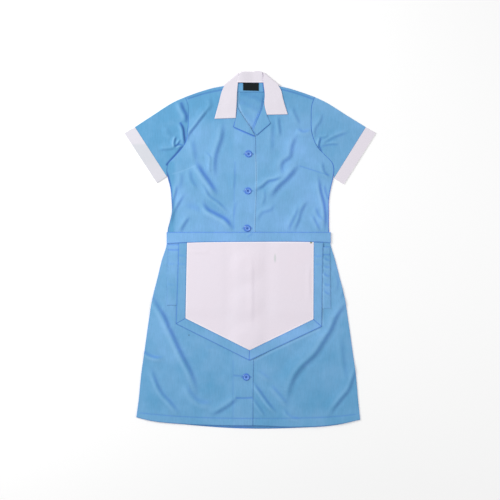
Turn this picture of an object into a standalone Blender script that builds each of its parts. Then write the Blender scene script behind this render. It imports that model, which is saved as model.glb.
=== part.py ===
"""A short-sleeved housekeeping dress, laid flat and face up.

The dress lies on its back in the XY plane: +Y runs from the hem to the collar, +X to the right of
someone looking down at the front, and +Z up. The floor is z = 0 and the origin is the middle of the
dress's outline on the floor. "Left" and "right" are those of the onlooker. Sizes are in millimetres
and become metres where a mesh is made.
"""

import math
from collections import namedtuple

import bmesh
import bpy
import numpy as np

MM = 0.001
WELD = 1e-6

# Cloth walls and the gap between two pieces
CLOTH = 1.2
DOUBLE = 1.8
LABEL = 1.0
GAP = 0.3
SEAM = GAP / 2 + 0.03
LAYER = CLOTH + GAP
CLEAR = 0.25
LOFT = 1.2
LOFT_RUN = 45.0

# Heights of the dress along Y
ROLL_Y = 499.6
NECK_SEAM_Y = 467.6
FACING_Y = 441.6
WAIST_SEAM_Y = 36.0
BAND_TOP_Y = 49.8
BAND_LOW_Y = 23.0
BAND_DIP = 4.4
BAND_TILT = 0.006
BAND_LEFT = -233.0
BAND_RIGHT = 225.6
APRON_TOP_Y = 22.5

# Where one piece lifts the next, and how far from its edge the lift has died away
LEVEL_FROM = 0.55
FALL_MIDDLE = 2.0
FALL_REACH = 84.0
FALL_LOW_Y = 436.0
FALL_RAMP = 62.0
SHOULDER_CALM_Y = 452.0
POCKET_RAMP = 46.0
BUTTON_RAMP = 56.0
CALM_FROM = 8.0
CALM_TO = 32.0
OVERLAP_TOP_Y = 390.0
OVERLAP_FADE = 40.0
NECK_SHARE_LEFT = 0.36
NECK_SHARE_RIGHT = 0.42

# How finely each panel is divided
ARMHOLE_STEPS = 14
SIDE_STEPS = 12
BODICE_COLUMNS = 16
BODICE_BACK_COLUMNS = 10
SKIRT_COLUMNS = 16
SKIRT_ROWS = 27
SKIRT_BACK_COLUMNS = 12
SLEEVE_COLUMNS = 8
CUFF_ROWS = 2
RIDGE_STEPS = 16
RIDGE_FADE = 0.3
SHARP_ANGLE = math.radians(50)
ARC = (math.pi / 2, math.pi / 4, 0.0, -math.pi / 4, -math.pi / 2)

# Buttons
BUTTON_ACROSS = 18.0
BUTTON_THICK = 2.4
BUTTON_DISH = 0.8
BUTTON_RIM = 2.6
BUTTON_BEVEL = 0.7
BUTTON_SIDES = 18

Point = namedtuple("Point", "x y")
Fold = namedtuple("Fold", "x0 y0 x1 y1 x2 y2 half_width height")
Edges = namedtuple("Edges", "top bottom left right")
Box = namedtuple("Box", "left right low high")
Spot = namedtuple("Spot", "x y")

# Outlines, each from top to bottom
SHOULDER_LEFT = [
    Point(-181, 428), Point(-143, 441.6), Point(-109, 451.5), Point(-72.8, 458.3), Point(-53, 461.5),
]
SHOULDER_RIGHT = [
    Point(55, 461.5), Point(78, 458.3), Point(110.5, 451.5), Point(143, 441.6), Point(181, 428),
]
ARMHOLE_LEFT = [
    Point(-181, 428), Point(-173, 403), Point(-172, 375), Point(-174, 336), Point(-180, 302),
    Point(-192, 283), Point(-213, 259), Point(-230, 239.5), Point(-233.5, 222), Point(-230, 201),
]
ARMHOLE_RIGHT = [
    Point(181, 428), Point(173, 404), Point(171.5, 375), Point(173, 333), Point(180.5, 305),
    Point(193, 284), Point(213, 263), Point(232, 242), Point(235.6, 222.5), Point(232.4, 199),
]
SIDE_LEFT = [
    Point(-230, 201), Point(-223.5, 176), Point(-219.5, 140), Point(-218.5, 106), Point(-223, 84),
    Point(-229, 62), Point(-232, 36),
]
SIDE_RIGHT = [
    Point(232.4, 199), Point(225.5, 170), Point(220.8, 140), Point(220.4, 106), Point(220.4, 84),
    Point(220.6, 62), Point(222.4, 36),
]
NECK_LEFT = [Point(-53, 461.5), Point(-52, 434), Point(-34.2, 396.8), Point(5.6, 335), Point(15.1, 316)]
EDGE_LEFT = [Point(15.1, 316), Point(15.4, 277), Point(17.9, 182), Point(15.4, 112), Point(12.9, 36)]
NECK_RIGHT = [
    Point(55, 461.5), Point(51, 438), Point(36.7, 418), Point(33.3, 397), Point(4.5, 336), Point(-23, 296),
]
EDGE_RIGHT = [Point(-23, 296), Point(-23.5, 160), Point(-24, 36)]
SKIRT_SIDE_LEFT = [
    Point(-232, 36), Point(-233, 17), Point(-246.5, -28), Point(-257.5, -73), Point(-274, -140),
    Point(-283, -196), Point(-294, -274), Point(-305, -353), Point(-311.5, -420), Point(-318, -468),
]
SKIRT_SIDE_RIGHT = [
    Point(222.4, 36), Point(225, 17), Point(238, -28), Point(249.5, -73), Point(266, -140),
    Point(274.5, -196), Point(285.5, -274), Point(296.5, -353), Point(302.5, -420), Point(308, -475),
]
SKIRT_EDGE_LEFT = [Point(12.9, 36), Point(10.2, -280), Point(8.4, -414), Point(8.1, -491)]
SKIRT_EDGE_RIGHT = [Point(-24, 36), Point(-27, -280), Point(-29, -490)]
FRONT_HEM_LEFT = [
    Point(-318, -468), Point(-290, -475), Point(-179, -487), Point(-90, -490.5), Point(8.1, -491),
]
FRONT_HEM_RIGHT = [
    Point(-29, -490), Point(40, -492), Point(120, -495), Point(252, -486.5), Point(308, -475),
]
BACK_HEM = [
    Point(-318, -468), Point(-290, -475.5), Point(-179, -488.5), Point(-45, -498.5), Point(39, -500),
    Point(120, -498), Point(252, -488), Point(308, -475),
]
SLEEVE_TOP_LEFT = [Point(-181, 428), Point(-201.6, 419.5), Point(-277, 373.5), Point(-322, 344)]
SLEEVE_TOP_RIGHT = [Point(181, 428), Point(200.2, 419.5), Point(276, 373.5), Point(324, 344)]
SLEEVE_HEM_LEFT = [Point(-322, 344), Point(-232.4, 205)]
SLEEVE_HEM_RIGHT = [Point(324, 344), Point(235, 201)]
CUFF_HEM_LEFT = [Point(-352, 327.5), Point(-260, 187)]
CUFF_HEM_RIGHT = [Point(352, 328), Point(262, 184)]
COLLAR_OUTER_LEFT = [Point(-99.4, 366.8), Point(-87, 412), Point(-77, 448), Point(-71.5, 459.2)]
COLLAR_INNER_LEFT = [Point(-39.8, 369), Point(-37.2, 410), Point(-35.4, 450), Point(-30.5, 492.5)]
COLLAR_OUTER_RIGHT = [Point(105.6, 379.2), Point(93, 420), Point(84.5, 451), Point(79, 459.2)]
COLLAR_INNER_RIGHT = [Point(47.3, 378), Point(40.5, 410), Point(38.2, 450), Point(36, 493.5)]
COLLAR_FALL_EDGE = [Point(-71.5, 459.2), Point(-45, 451), Point(0, 447), Point(48, 451), Point(79, 459.2)]
COLLAR_ROLL = [Point(-30.5, 492.5), Point(-22, 498.6), Point(2, ROLL_Y), Point(29, 498.8), Point(36, 493.5)]
STAND_LEFT = [Point(-28.0, 497.4), Point(-36, NECK_SEAM_Y + GAP)]
STAND_RIGHT = [Point(32, 497.4), Point(40, NECK_SEAM_Y + GAP)]

# The hidden edge of the right front, under the left front's overlap
UNDER_EDGE = [Point(6, 338), Point(-6, 318), Point(-23, 296), Point(-24, 36), Point(-29, -491)]
RAMP_FROM = -46.0
RAMP_TO = -7.0

# Pieces with straight sides
LAPEL_LEFT = Edges(
    top=[Point(-39.4, 368.6), Point(-34.4, 396)],
    bottom=[Point(-47, 344.4), Point(14.4, 317.4)],
    left=[Point(-39.4, 368.6), Point(-47, 344.4)],
    right=[Point(-34.4, 396), Point(5.2, 334.6), Point(14.4, 317.4)],
)
LAPEL_RIGHT = Edges(
    top=[Point(37.2, 416), Point(46.6, 377.4)],
    bottom=[Point(8, 333.6), Point(18.2, 320.6)],
    left=[Point(37.2, 416), Point(33.8, 397), Point(8, 333.6)],
    right=[Point(46.6, 377.4), Point(57.4, 354.2), Point(18.2, 320.6)],
)
FACING = Edges(
    top=[Point(-46, NECK_SEAM_Y - GAP), Point(48, NECK_SEAM_Y - GAP)],
    bottom=[Point(-44, FACING_Y), Point(42, FACING_Y)],
    left=[Point(-46, NECK_SEAM_Y - GAP), Point(-44, FACING_Y)],
    right=[Point(48, NECK_SEAM_Y - GAP), Point(42, FACING_Y)],
)
LABEL_EDGES = Edges(
    top=[Point(-19.4, NECK_SEAM_Y - GAP), Point(24.4, NECK_SEAM_Y - GAP)],
    bottom=[Point(-19.2, 446), Point(24.4, 444.8)],
    left=[Point(-19.4, NECK_SEAM_Y - GAP), Point(-19.2, 446)],
    right=[Point(24.4, NECK_SEAM_Y - GAP), Point(24.4, 444.8)],
)
STAND = Edges(
    top=[STAND_LEFT[0], STAND_RIGHT[0]],
    bottom=[STAND_LEFT[1], STAND_RIGHT[1]],
    left=STAND_LEFT,
    right=STAND_RIGHT,
)
POCKET_LEFT = Box(-233, -88, -155, 15)
POCKET_RIGHT = Box(88, 225.5, -163, 9)
POCKET_SIDE_LEFT = (-229.0, -233.4)
POCKET_SIDE_RIGHT = (223.5, 225.8)
APRON_LEFT = [Point(-175.8, APRON_TOP_Y), Point(-180.2, -191)]
APRON_RIGHT = [Point(178, APRON_TOP_Y), Point(177.2, -193.5)]
APRON_POINT = Point(-1, -280)
BORDER_OUT_LEFT = [Point(-199.4, APRON_TOP_Y - 2), Point(-207, -206.5)]
BORDER_OUT_RIGHT = [Point(204, APRON_TOP_Y - 2), Point(200, -214)]
BORDER_POINT = Point(-2, -308.5)

# Folds of the fronts: three points of the ridge, half its width and its height
BODICE_FOLDS = [
    Fold(-124, 366, -146, 338, -176, 296, 12, 4.0),
    Fold(-72, 358, -84, 300, -102, 252, 12, 3.2),
    Fold(-150, 240, -122, 206, -95, 168, 13, 5.0),
    Fold(-132, 156, -88, 122, -40, 66, 14, 6.0),
    Fold(-214, 112, -194, 150, -160, 180, 14, 3.0),
    Fold(-196, 58, -186, 84, -168, 104, 11, 3.0),
    Fold(135, 310, 104, 260, 30, 178, 14, 6.0),
    Fold(138, 238, 112, 200, 58, 150, 13, 5.0),
    Fold(199, 206, 206, 140, 210, 58, 11, 4.0),
    Fold(149, 136, 131, 98, 118, 58, 12, 4.0),
    Fold(136, 384, 146, 358, 164, 352, 11, 2.2),
    Fold(78, 362, 88, 336, 84, 300, 11, 2.2),
]
SKIRT_FOLDS = [
    Fold(-266, -140, -220, -232, -152, -368, 18, 7.0),
    Fold(-288, -281, -272, -290, -240, -288, 12, 3.0),
    Fold(-268, -330, -252, -392, -202, -446, 15, 4.5),
    Fold(-44, -410, -72, -432, -104, -456, 13, 4.0),
    Fold(266, -158, 214, -236, 112, -370, 18, 7.0),
    Fold(288, -338, 266, -400, 224, -456, 15, 5.0),
    Fold(24, -364, 52, -414, 94, -458, 13, 4.5),
]
SLEEVE_FOLDS = [
    Fold(-196, 404, -187, 350, -186, 300, 11, 4.0),
    Fold(-198, 288, -224, 276, -262, 268, 11, 3.0),
    Fold(200, 288, 222, 304, 254, 314, 11, 3.0),
    Fold(202, 282, 226, 286, 250, 292, 11, 2.6),
    Fold(190, 400, 184, 350, 190, 312, 11, 2.4),
]

# Seven buttons, three of them behind the apron
BUTTONS = [
    Spot(-3.9, 268.6), Spot(-5.6, 165.2), Spot(-7.4, 60.6), Spot(-8.2, -43.9),
    Spot(-8.8, -147.5), Spot(-9.6, -251.2), Spot(-10.4, -355.0),
]
HIDDEN_BUTTONS = BUTTONS[3:6]

# Colours as linear red, green and blue
COLOURS = {
    "blue_poplin": ((0.19, 0.42, 0.72), 0.85),
    "white_poplin": ((0.80, 0.77, 0.84), 0.85),
    "blue_button": ((0.10, 0.27, 0.70), 0.35),
    "black_label": ((0.01, 0.01, 0.012), 0.6),
}


def clear_scene():
    for obj in list(bpy.data.objects):
        bpy.data.objects.remove(obj, do_unlink=True)


def material(name):
    found = bpy.data.materials.get(name)
    if found:
        return found
    colour, roughness = COLOURS[name]
    made = bpy.data.materials.new(name)
    made.use_nodes = True
    shader = made.node_tree.nodes["Principled BSDF"]
    shader.inputs["Base Color"].default_value = (*colour, 1.0)
    shader.inputs["Roughness"].default_value = roughness
    shader.inputs["Metallic"].default_value = 0.0
    return made


def smooth(low, high, value):
    """0 below low, 1 above high, and an even S between them."""
    share = np.clip((value - low) / (high - low), 0.0, 1.0)
    return share * share * (3.0 - 2.0 * share)


def along(points, steps):
    """A smooth line through the points, cut into equal steps."""
    given = np.array(points, float)
    knots = np.concatenate([[0.0], np.cumsum(np.linalg.norm(np.diff(given, axis=0), axis=1))])
    slopes = np.gradient(given, knots, axis=0) if len(given) > 2 else None
    at = np.linspace(0.0, knots[-1], steps + 1)
    if slopes is None:
        return given[0] + (given[1] - given[0]) * (at / knots[-1])[:, None]
    span = np.clip(np.searchsorted(knots, at, side="right") - 1, 0, len(knots) - 2)
    size = (knots[span + 1] - knots[span])[:, None]
    t = (at - knots[span])[:, None] / size
    return (
        (2 * t**3 - 3 * t**2 + 1) * given[span]
        + (t**3 - 2 * t**2 + t) * size * slopes[span]
        + (3 * t**2 - 2 * t**3) * given[span + 1]
        + (t**3 - t**2) * size * slopes[span + 1]
    )


def straight(points, steps):
    """The broken line through the points, cut into equal steps."""
    given = np.array(points, float)
    knots = np.concatenate([[0.0], np.cumsum(np.linalg.norm(np.diff(given, axis=0), axis=1))])
    at = np.linspace(0.0, knots[-1], steps + 1)
    return np.stack([np.interp(at, knots, given[:, k]) for k in (0, 1)], axis=1)


def shifted(line, distance):
    """A line moved sideways, to its own left where distance is above 0."""
    run = np.gradient(line, axis=0)
    run /= np.linalg.norm(run, axis=1)[:, None]
    return line + distance * np.stack([-run[:, 1], run[:, 0]], axis=1)


def patch(top, bottom, left, right):
    """Rows of points between four edges that meet at their corners: top and bottom run left to
    right, left and right run top to bottom."""
    u = np.linspace(0.0, 1.0, len(top))[None, :, None]
    v = np.linspace(0.0, 1.0, len(left))[:, None, None]
    corners = (
        (1 - u) * (1 - v) * top[0] + u * (1 - v) * top[-1] + (1 - u) * v * bottom[0] + u * v * bottom[-1]
    )
    return (1 - v) * top[None] + v * bottom[None] + (1 - u) * left[:, None] + u * right[:, None] - corners


def fold_height(folds, x, y):
    """The height that the folds add at each point, each a soft ridge that dies away at its ends."""
    height = np.zeros_like(x, dtype=float)
    for fold in folds:
        start, bend, end = np.array(fold[:6]).reshape(3, 2)
        t = np.linspace(0.0, 1.0, RIDGE_STEPS + 1)[:, None]
        ridge = (1 - t) ** 2 * start + 2 * t * (1 - t) * (2 * bend - (start + end) / 2) + t**2 * end
        away = np.hypot(x[..., None] - ridge[:, 0], y[..., None] - ridge[:, 1])
        nearest = away.argmin(axis=-1)
        across = np.clip(away.min(axis=-1) / fold.half_width, 0.0, 1.0)
        share = nearest / RIDGE_STEPS
        ends = smooth(0.0, RIDGE_FADE, share) * smooth(0.0, RIDGE_FADE, 1.0 - share)
        height += fold.height * np.cos(across * math.pi / 2) ** 2 * ends
    return height


def edge_at(line, y):
    """The x of a top-to-bottom line at each y."""
    table = np.array(line, float)[::-1]
    return np.interp(y, table[:, 1], table[:, 0])


def box_distance(box, x, y):
    outside_x = np.maximum(np.maximum(box.left - x, x - box.right), 0.0)
    outside_y = np.maximum(np.maximum(box.low - y, y - box.high), 0.0)
    return np.hypot(outside_x, outside_y)


def outside_apron(x, y):
    """How far each point lies outside the apron's border, and below 0 inside it."""
    corners = [*BORDER_OUT_LEFT, BORDER_POINT, *reversed(BORDER_OUT_RIGHT)]
    sides = []
    for start, end in zip(corners, corners[1:] + corners[:1]):
        run = np.array(end) - np.array(start)
        run /= np.linalg.norm(run)
        sides.append(run[1] * (x - start.x) - run[0] * (y - start.y))
    return np.max(sides, axis=0)


def outside_pockets(x, y):
    return np.minimum(box_distance(POCKET_LEFT, x, y), box_distance(POCKET_RIGHT, x, y))


def fall_share(x, y):
    """1 over the part of the collar that lies under the back, and 0 well away from it."""
    outside_x = np.maximum(np.abs(x - FALL_MIDDLE) - FALL_REACH, 0.0)
    outside_y = np.maximum(FALL_LOW_Y - y, 0.0)
    return 1.0 - smooth(0.0, FALL_RAMP, np.hypot(outside_x, outside_y))


def back_under(x, y):
    """The underside of the back: on the floor, and lifted over the collar's fall behind the neck."""
    return (DOUBLE + GAP + CLEAR) * fall_share(x, y)


def loft(x, y, left, right):
    """Air under the cloth of a front, none at its side seam."""
    inside = np.minimum(x - edge_at(left, y), edge_at(right, y) - x)
    return LOFT * smooth(0.0, LOFT_RUN, inside)


def bodice_under(x, y):
    """The underside of a bodice front before one front overlaps the other."""
    sides = loft(x, y, ARMHOLE_LEFT + SIDE_LEFT[1:], ARMHOLE_RIGHT + SIDE_RIGHT[1:])
    top = smooth(0.0, LOFT_RUN, SHOULDER_CALM_Y - y)
    spare = 2 * CLEAR * fall_share(x, y)
    return back_under(x, y) + LAYER + spare + sides * top + fold_height(BODICE_FOLDS, x, y)


def skirt_under(x, y):
    """The underside of a skirt front before one front overlaps the other."""
    sides = loft(x, y, SKIRT_SIDE_LEFT, SKIRT_SIDE_RIGHT)
    calm = smooth(CALM_FROM, CALM_TO, outside_apron(x, y)) * smooth(CALM_FROM, CALM_TO, outside_pockets(x, y))
    return LAYER + sides + calm * fold_height(SKIRT_FOLDS, x, y)


def overlap(x, y):
    """What the left front rises by to lie over the right front."""
    reach = x - edge_at(UNDER_EDGE, y)
    return (LAYER + CLEAR) * smooth(RAMP_FROM, RAMP_TO, reach) * smooth(0.0, OVERLAP_FADE, OVERLAP_TOP_Y - y)


def over_placket(x, y):
    """What a piece that lies across both fronts rises by: up on the left, and down past the edge."""
    past = x - edge_at(EDGE_LEFT + SKIRT_EDGE_LEFT[1:], y)
    return overlap(x, y) * (1.0 - smooth(-RAMP_TO, -RAMP_FROM, past))


def left_bodice_under(x, y):
    return bodice_under(x, y) + overlap(x, y)


def left_skirt_under(x, y):
    return skirt_under(x, y) + overlap(x, y)


def pocket_under(x, y):
    return skirt_under(x, y) + LAYER + CLEAR


def apron_under(x, y):
    """The apron lies on the skirt fronts, the pockets and the hidden buttons."""
    height = skirt_under(x, y) + LAYER + CLEAR + over_placket(x, y)
    height += (LAYER + CLEAR) * (1.0 - smooth(2.0, POCKET_RAMP, outside_pockets(x, y)))
    for spot in HIDDEN_BUTTONS:
        away = np.hypot(x - spot.x, y - spot.y)
        height += (BUTTON_THICK + GAP) * (1.0 - smooth(BUTTON_ACROSS * 0.8, BUTTON_RAMP, away))
    return height


def band_under(x, y):
    """The waistband lies across the waist seam, and its ends stand a little past the side seams."""
    return np.maximum(bodice_under(x, y), skirt_under(x, y)) + LAYER + CLEAR + over_placket(x, y)


def sleeve_under(x, y):
    return LAYER + fold_height(SLEEVE_FOLDS, x, y)


def leaf_under(x, y):
    """The collar's leaves lie on the fronts, and level with them past the neck seam."""
    return bodice_under(x, y) + LAYER + CLEAR


def solid_between(name, outer, inner, colour, ring=False):
    """A closed wall between two grids of points. Where ring is true the columns close on themselves."""
    rows, columns = outer.shape[:2]
    mesh = bmesh.new()
    sheets = [
        [[mesh.verts.new(np.array(p) * MM) for p in row] for row in grid]
        for grid in (outer, inner)
    ]
    steps = [(j, (j + 1) % columns) for j in range(columns if ring else columns - 1)]
    for sheet in sheets:
        for i in range(rows - 1):
            for j, k in steps:
                mesh.faces.new((sheet[i][j], sheet[i][k], sheet[i + 1][k], sheet[i + 1][j]))
    first, second = sheets
    for i in (0, rows - 1):
        for j, k in steps:
            mesh.faces.new((first[i][j], first[i][k], second[i][k], second[i][j]))
    if not ring:
        for j in (0, columns - 1):
            for i in range(rows - 1):
                mesh.faces.new((first[i][j], first[i + 1][j], second[i + 1][j], second[i][j]))
    bmesh.ops.recalc_face_normals(mesh, faces=mesh.faces)
    return add_object(name, mesh, colour)


def add_object(name, mesh, colour):
    data = bpy.data.meshes.new(name)
    mesh.to_mesh(data)
    mesh.free()
    data.materials.append(material(colour))
    data.shade_smooth()
    data.set_sharp_from_angle(angle=SHARP_ANGLE)
    obj = bpy.data.objects.new(name, data)
    bpy.context.scene.collection.objects.link(obj)
    return obj


def wall(name, grid, under, thickness, colour):
    """A panel of cloth: its underside follows the height function, and its face is above it."""
    x, y = grid[..., 0], grid[..., 1]
    z = under(x, y)
    face = np.stack([x, y, z + thickness], axis=-1)
    back = np.stack([x, y, z], axis=-1)
    return solid_between(name, face, back, colour)


def flat_tube(name, grid, under, thickness, colour):
    """A tube of cloth pressed flat. Each row of the grid is a ring, from one folded edge to the other.
    The lower layer lies on the floor, and the upper layer follows the height function."""
    x, y = grid[..., 0], grid[..., 1]
    low_edges = under(x[:, [0, -1]], y[:, [0, -1]])
    z = under(x, y)
    outer, inner = [], []
    for i in range(len(grid)):
        rings = ([], [])
        for side, end, step in ((0, 0, 1), (1, -1, -1)):
            out = grid[i, end] - grid[i, end + step]
            out /= np.linalg.norm(out)
            radius = (low_edges[i, side] + thickness) / 2
            centre = grid[i, end] - out * radius
            turn = ARC[::-1] if side == 0 else ARC
            for ring, size in zip(rings, (radius, radius - thickness)):
                for angle in turn:
                    place = centre + out * size * math.cos(angle)
                    ring.append((*place, radius + size * math.sin(angle)))
            layer = range(1, grid.shape[1] - 1)
            if side == 0:
                rings[0].extend((x[i, j], y[i, j], z[i, j] + thickness) for j in layer)
                rings[1].extend((x[i, j], y[i, j], z[i, j]) for j in layer)
            else:
                rings[0].extend((x[i, j], y[i, j], 0.0) for j in reversed(layer))
                rings[1].extend((x[i, j], y[i, j], thickness) for j in reversed(layer))
        outer.append(rings[0])
        inner.append(rings[1])
    return solid_between(name, np.array(outer), np.array(inner), colour, ring=True)


def side_line(armhole, side, inset):
    """The armhole and the side seam as one edge, moved into the panel at the armhole seam."""
    arm = shifted(along(armhole, ARMHOLE_STEPS), inset)
    seam = along(side, SIDE_STEPS)
    return np.concatenate([arm, seam[1:]])


def front_line(neck, edge, rows, bend_share):
    """The neckline and the front edge as one line of that many rows."""
    upper = round(rows * bend_share)
    return np.concatenate([straight(neck, upper), along(edge, rows - upper)[1:]])


def make_bodice():
    rows = ARMHOLE_STEPS + SIDE_STEPS
    left = side_line(ARMHOLE_LEFT, SIDE_LEFT, SEAM)
    right = side_line(ARMHOLE_RIGHT, SIDE_RIGHT, -SEAM)
    waist = WAIST_SEAM_Y + SEAM
    left[-1, 1] = right[-1, 1] = waist

    centre = front_line(NECK_LEFT, EDGE_LEFT, rows, NECK_SHARE_LEFT)
    centre[-1, 1] = waist
    top = along(SHOULDER_LEFT, BODICE_COLUMNS)
    bottom = straight([left[-1], centre[-1]], BODICE_COLUMNS)
    top[0] = left[0]
    wall("bodice_front_left", patch(top, bottom, left, centre), left_bodice_under, CLOTH, "blue_poplin")

    centre = front_line(NECK_RIGHT, EDGE_RIGHT, rows, NECK_SHARE_RIGHT)
    centre[-1, 1] = waist
    top = along(SHOULDER_RIGHT, BODICE_COLUMNS)
    bottom = straight([centre[-1], right[-1]], BODICE_COLUMNS)
    top[-1] = right[0]
    wall("bodice_front_right", patch(top, bottom, centre, right), bodice_under, CLOTH, "blue_poplin")

    neck = NECK_SEAM_Y - SEAM
    side = BODICE_BACK_COLUMNS * 3 // 10
    middle = BODICE_BACK_COLUMNS - 2 * side
    top = np.concatenate([
        along(SHOULDER_LEFT[:-1] + [Point(-40, neck)], side),
        straight([Point(-40, neck), Point(42, neck)], middle)[1:-1],
        along([Point(42, neck)] + SHOULDER_RIGHT[1:], side),
    ])
    top[0], top[-1] = left[0], right[0]
    bottom = straight([left[-1], right[-1]], BODICE_BACK_COLUMNS)
    wall("bodice_back", patch(top, bottom, left, right), back_under, CLOTH, "blue_poplin")


def make_skirt():
    waist = WAIST_SEAM_Y - SEAM
    left = along(SKIRT_SIDE_LEFT, SKIRT_ROWS)
    right = along(SKIRT_SIDE_RIGHT, SKIRT_ROWS)
    for line in (left, right):
        line[0, 1] = waist

    centre = along(SKIRT_EDGE_LEFT, SKIRT_ROWS)
    centre[0, 1] = waist
    top = straight([left[0], centre[0]], SKIRT_COLUMNS)
    hem = along(FRONT_HEM_LEFT, SKIRT_COLUMNS)
    wall("skirt_front_left", patch(top, hem, left, centre), left_skirt_under, CLOTH, "blue_poplin")

    centre = along(SKIRT_EDGE_RIGHT, SKIRT_ROWS)
    centre[0, 1] = waist
    top = straight([centre[0], right[0]], SKIRT_COLUMNS)
    hem = along(FRONT_HEM_RIGHT, SKIRT_COLUMNS)
    wall("skirt_front_right", patch(top, hem, centre, right), skirt_under, CLOTH, "blue_poplin")

    left, right = left[::3], right[::3]
    top = straight([left[0], right[0]], SKIRT_BACK_COLUMNS)
    hem = along(BACK_HEM, SKIRT_BACK_COLUMNS)
    wall("skirt_back", patch(top, hem, left, right), on_floor, CLOTH, "blue_poplin")


def on_floor(x, y):
    return np.zeros_like(x)


def make_sleeve(side, armhole, top, hem, cuff_hem, turn):
    """A sleeve and its cuff. Rings run from the shoulder fold to the underarm."""
    seam = shifted(along(armhole, ARMHOLE_STEPS), -turn * (SEAM + GAP / 2))[:ARMHOLE_STEPS]
    over = along(top, SLEEVE_COLUMNS)
    end = straight(hem, len(seam) - 1)
    over[0] = seam[0]
    underarm = straight([seam[-1], end[-1]], SLEEVE_COLUMNS)
    grid = patch(seam, end, over, underarm)
    flat_tube(f"sleeve_{side}", grid, sleeve_under, CLOTH, "blue_poplin")

    joint = shifted(end, -turn * GAP)
    edge = straight(cuff_hem, len(seam) - 1)
    folds = [straight([joint[k], edge[k]], CUFF_ROWS) for k in (0, -1)]
    flat_tube(f"cuff_{side}", patch(joint, edge, *folds)[:, ::2], cuff_under, CLOTH, "white_poplin")


def cuff_under(x, y):
    return np.full_like(x, LAYER)


def wrap_rows(line, out, low, top):
    """Rows that carry the collar's wall round a folded edge, from its upper layer to its lower one."""
    centre, radius = (low + top) / 2, (top - low) / 2
    turns = []
    for size in (radius, radius - DOUBLE):
        rows = []
        for angle in ARC:
            place = line + out * size * math.cos(angle)
            rows.append(np.column_stack([place, np.full(len(line), centre + size * math.sin(angle))]))
        turns.append(rows)
    return turns


def make_collar():
    """The leaf folds round both shoulders: its ends lie on the fronts, and its middle under the back."""
    across, length, behind = 4, 9, 12
    top = float(leaf_under(*np.array(SHOULDER_LEFT[-1]))) + DOUBLE
    outer, inner = [], []

    def add_leaf(outer_line, inner_line, backwards):
        ends = [straight([outer_line[k], inner_line[k]], across) for k in (0, -1)]
        grid = patch(*ends, along(outer_line, length), along(inner_line, length))
        z = leaf_under(grid[..., 0], grid[..., 1])
        share = smooth(LEVEL_FROM, 1.0, np.linspace(0.0, 1.0, length + 1))[:, None]
        z = z * (1 - share) + (top - DOUBLE) * share
        face = np.concatenate([grid, (z + DOUBLE)[..., None]], axis=-1)[:-1]
        back = np.concatenate([grid, z[..., None]], axis=-1)[:-1]
        fold = grid[-1, -1] - grid[-1, 0]
        out = np.array([-fold[1], fold[0]]) * np.sign(fold[0]) / np.linalg.norm(fold)
        turn = wrap_rows(grid[-1], out, 0.0, top)
        face = list(face) + turn[0]
        back = list(back) + turn[1]
        outer.extend(reversed(face) if backwards else face)
        inner.extend(reversed(back) if backwards else back)

    add_leaf(COLLAR_OUTER_LEFT, COLLAR_INNER_LEFT, False)
    sides = [straight([COLLAR_FALL_EDGE[k], COLLAR_ROLL[k]], across) for k in (0, -1)]
    fall = patch(along(COLLAR_FALL_EDGE, behind), along(COLLAR_ROLL, behind), *sides)
    fall = fall.transpose(1, 0, 2)[1:-1]
    outer.extend(np.concatenate([fall, np.zeros((*fall.shape[:2], 1))], axis=-1))
    inner.extend(np.concatenate([fall, np.full((*fall.shape[:2], 1), DOUBLE)], axis=-1))
    add_leaf(COLLAR_OUTER_RIGHT, COLLAR_INNER_RIGHT, True)
    solid_between("collar", np.array(outer), np.array(inner), "white_poplin")


def stand_under(x, y):
    return np.full_like(x, DOUBLE + GAP)


def label_under(x, y):
    return facing_under(x, y) + LAYER


def facing_under(x, y):
    return back_under(x, y) + LAYER


def right_lapel_under(x, y):
    return bodice_under(x, y) + LAYER + CLEAR


def left_lapel_under(x, y):
    return left_bodice_under(x, y) + LAYER + CLEAR


def straight_patch(edges, columns, rows):
    """Rows of points between four broken lines."""
    return patch(
        straight(edges.top, columns), straight(edges.bottom, columns),
        straight(edges.left, rows), straight(edges.right, rows),
    )


def make_neck():
    """The stand behind the neck, the facing inside the back, a plain label, and the turned lapels."""
    wall("collar_stand", straight_patch(STAND, 8, 3), stand_under, DOUBLE, "white_poplin")
    wall("neck_facing", straight_patch(FACING, 10, 3), facing_under, CLOTH, "blue_poplin")
    wall("neck_label", straight_patch(LABEL_EDGES, 4, 2), label_under, LABEL, "black_label")
    wall("lapel_left", straight_patch(LAPEL_LEFT, 4, 8), left_lapel_under, CLOTH, "blue_poplin")
    wall("lapel_right", straight_patch(LAPEL_RIGHT, 4, 8), right_lapel_under, CLOTH, "blue_poplin")


def make_pocket(side, box, outer_column, outer_side):
    """A square patch whose outer side follows the side seam's slant."""
    x, y = np.meshgrid(np.linspace(box.left, box.right, 8), np.linspace(box.high, box.low, 9))
    x[:, outer_column] = np.linspace(*outer_side, len(x))
    wall(f"pocket_{side}", np.stack([x, y], axis=-1), pocket_under, CLOTH, "blue_poplin")


def band_low(x):
    """The y of the waistband's lower edge, which dips towards the side seams."""
    middle, half = (BAND_RIGHT + BAND_LEFT) / 2, (BAND_RIGHT - BAND_LEFT) / 2
    return BAND_LOW_Y + BAND_TILT * x - BAND_DIP * (np.abs(x - middle) / half) ** 4


def make_waistband():
    columns, rows = 34, 3
    stations = np.linspace(BAND_LEFT, BAND_RIGHT, columns + 1)
    low = np.column_stack([stations, band_low(stations)])
    top = np.column_stack([stations, np.full(len(stations), BAND_TOP_Y)])
    grid = patch(top, low, straight([top[0], low[0]], rows), straight([top[-1], low[-1]], rows))
    wall("waistband", grid, band_under, CLOTH, "blue_poplin")


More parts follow.
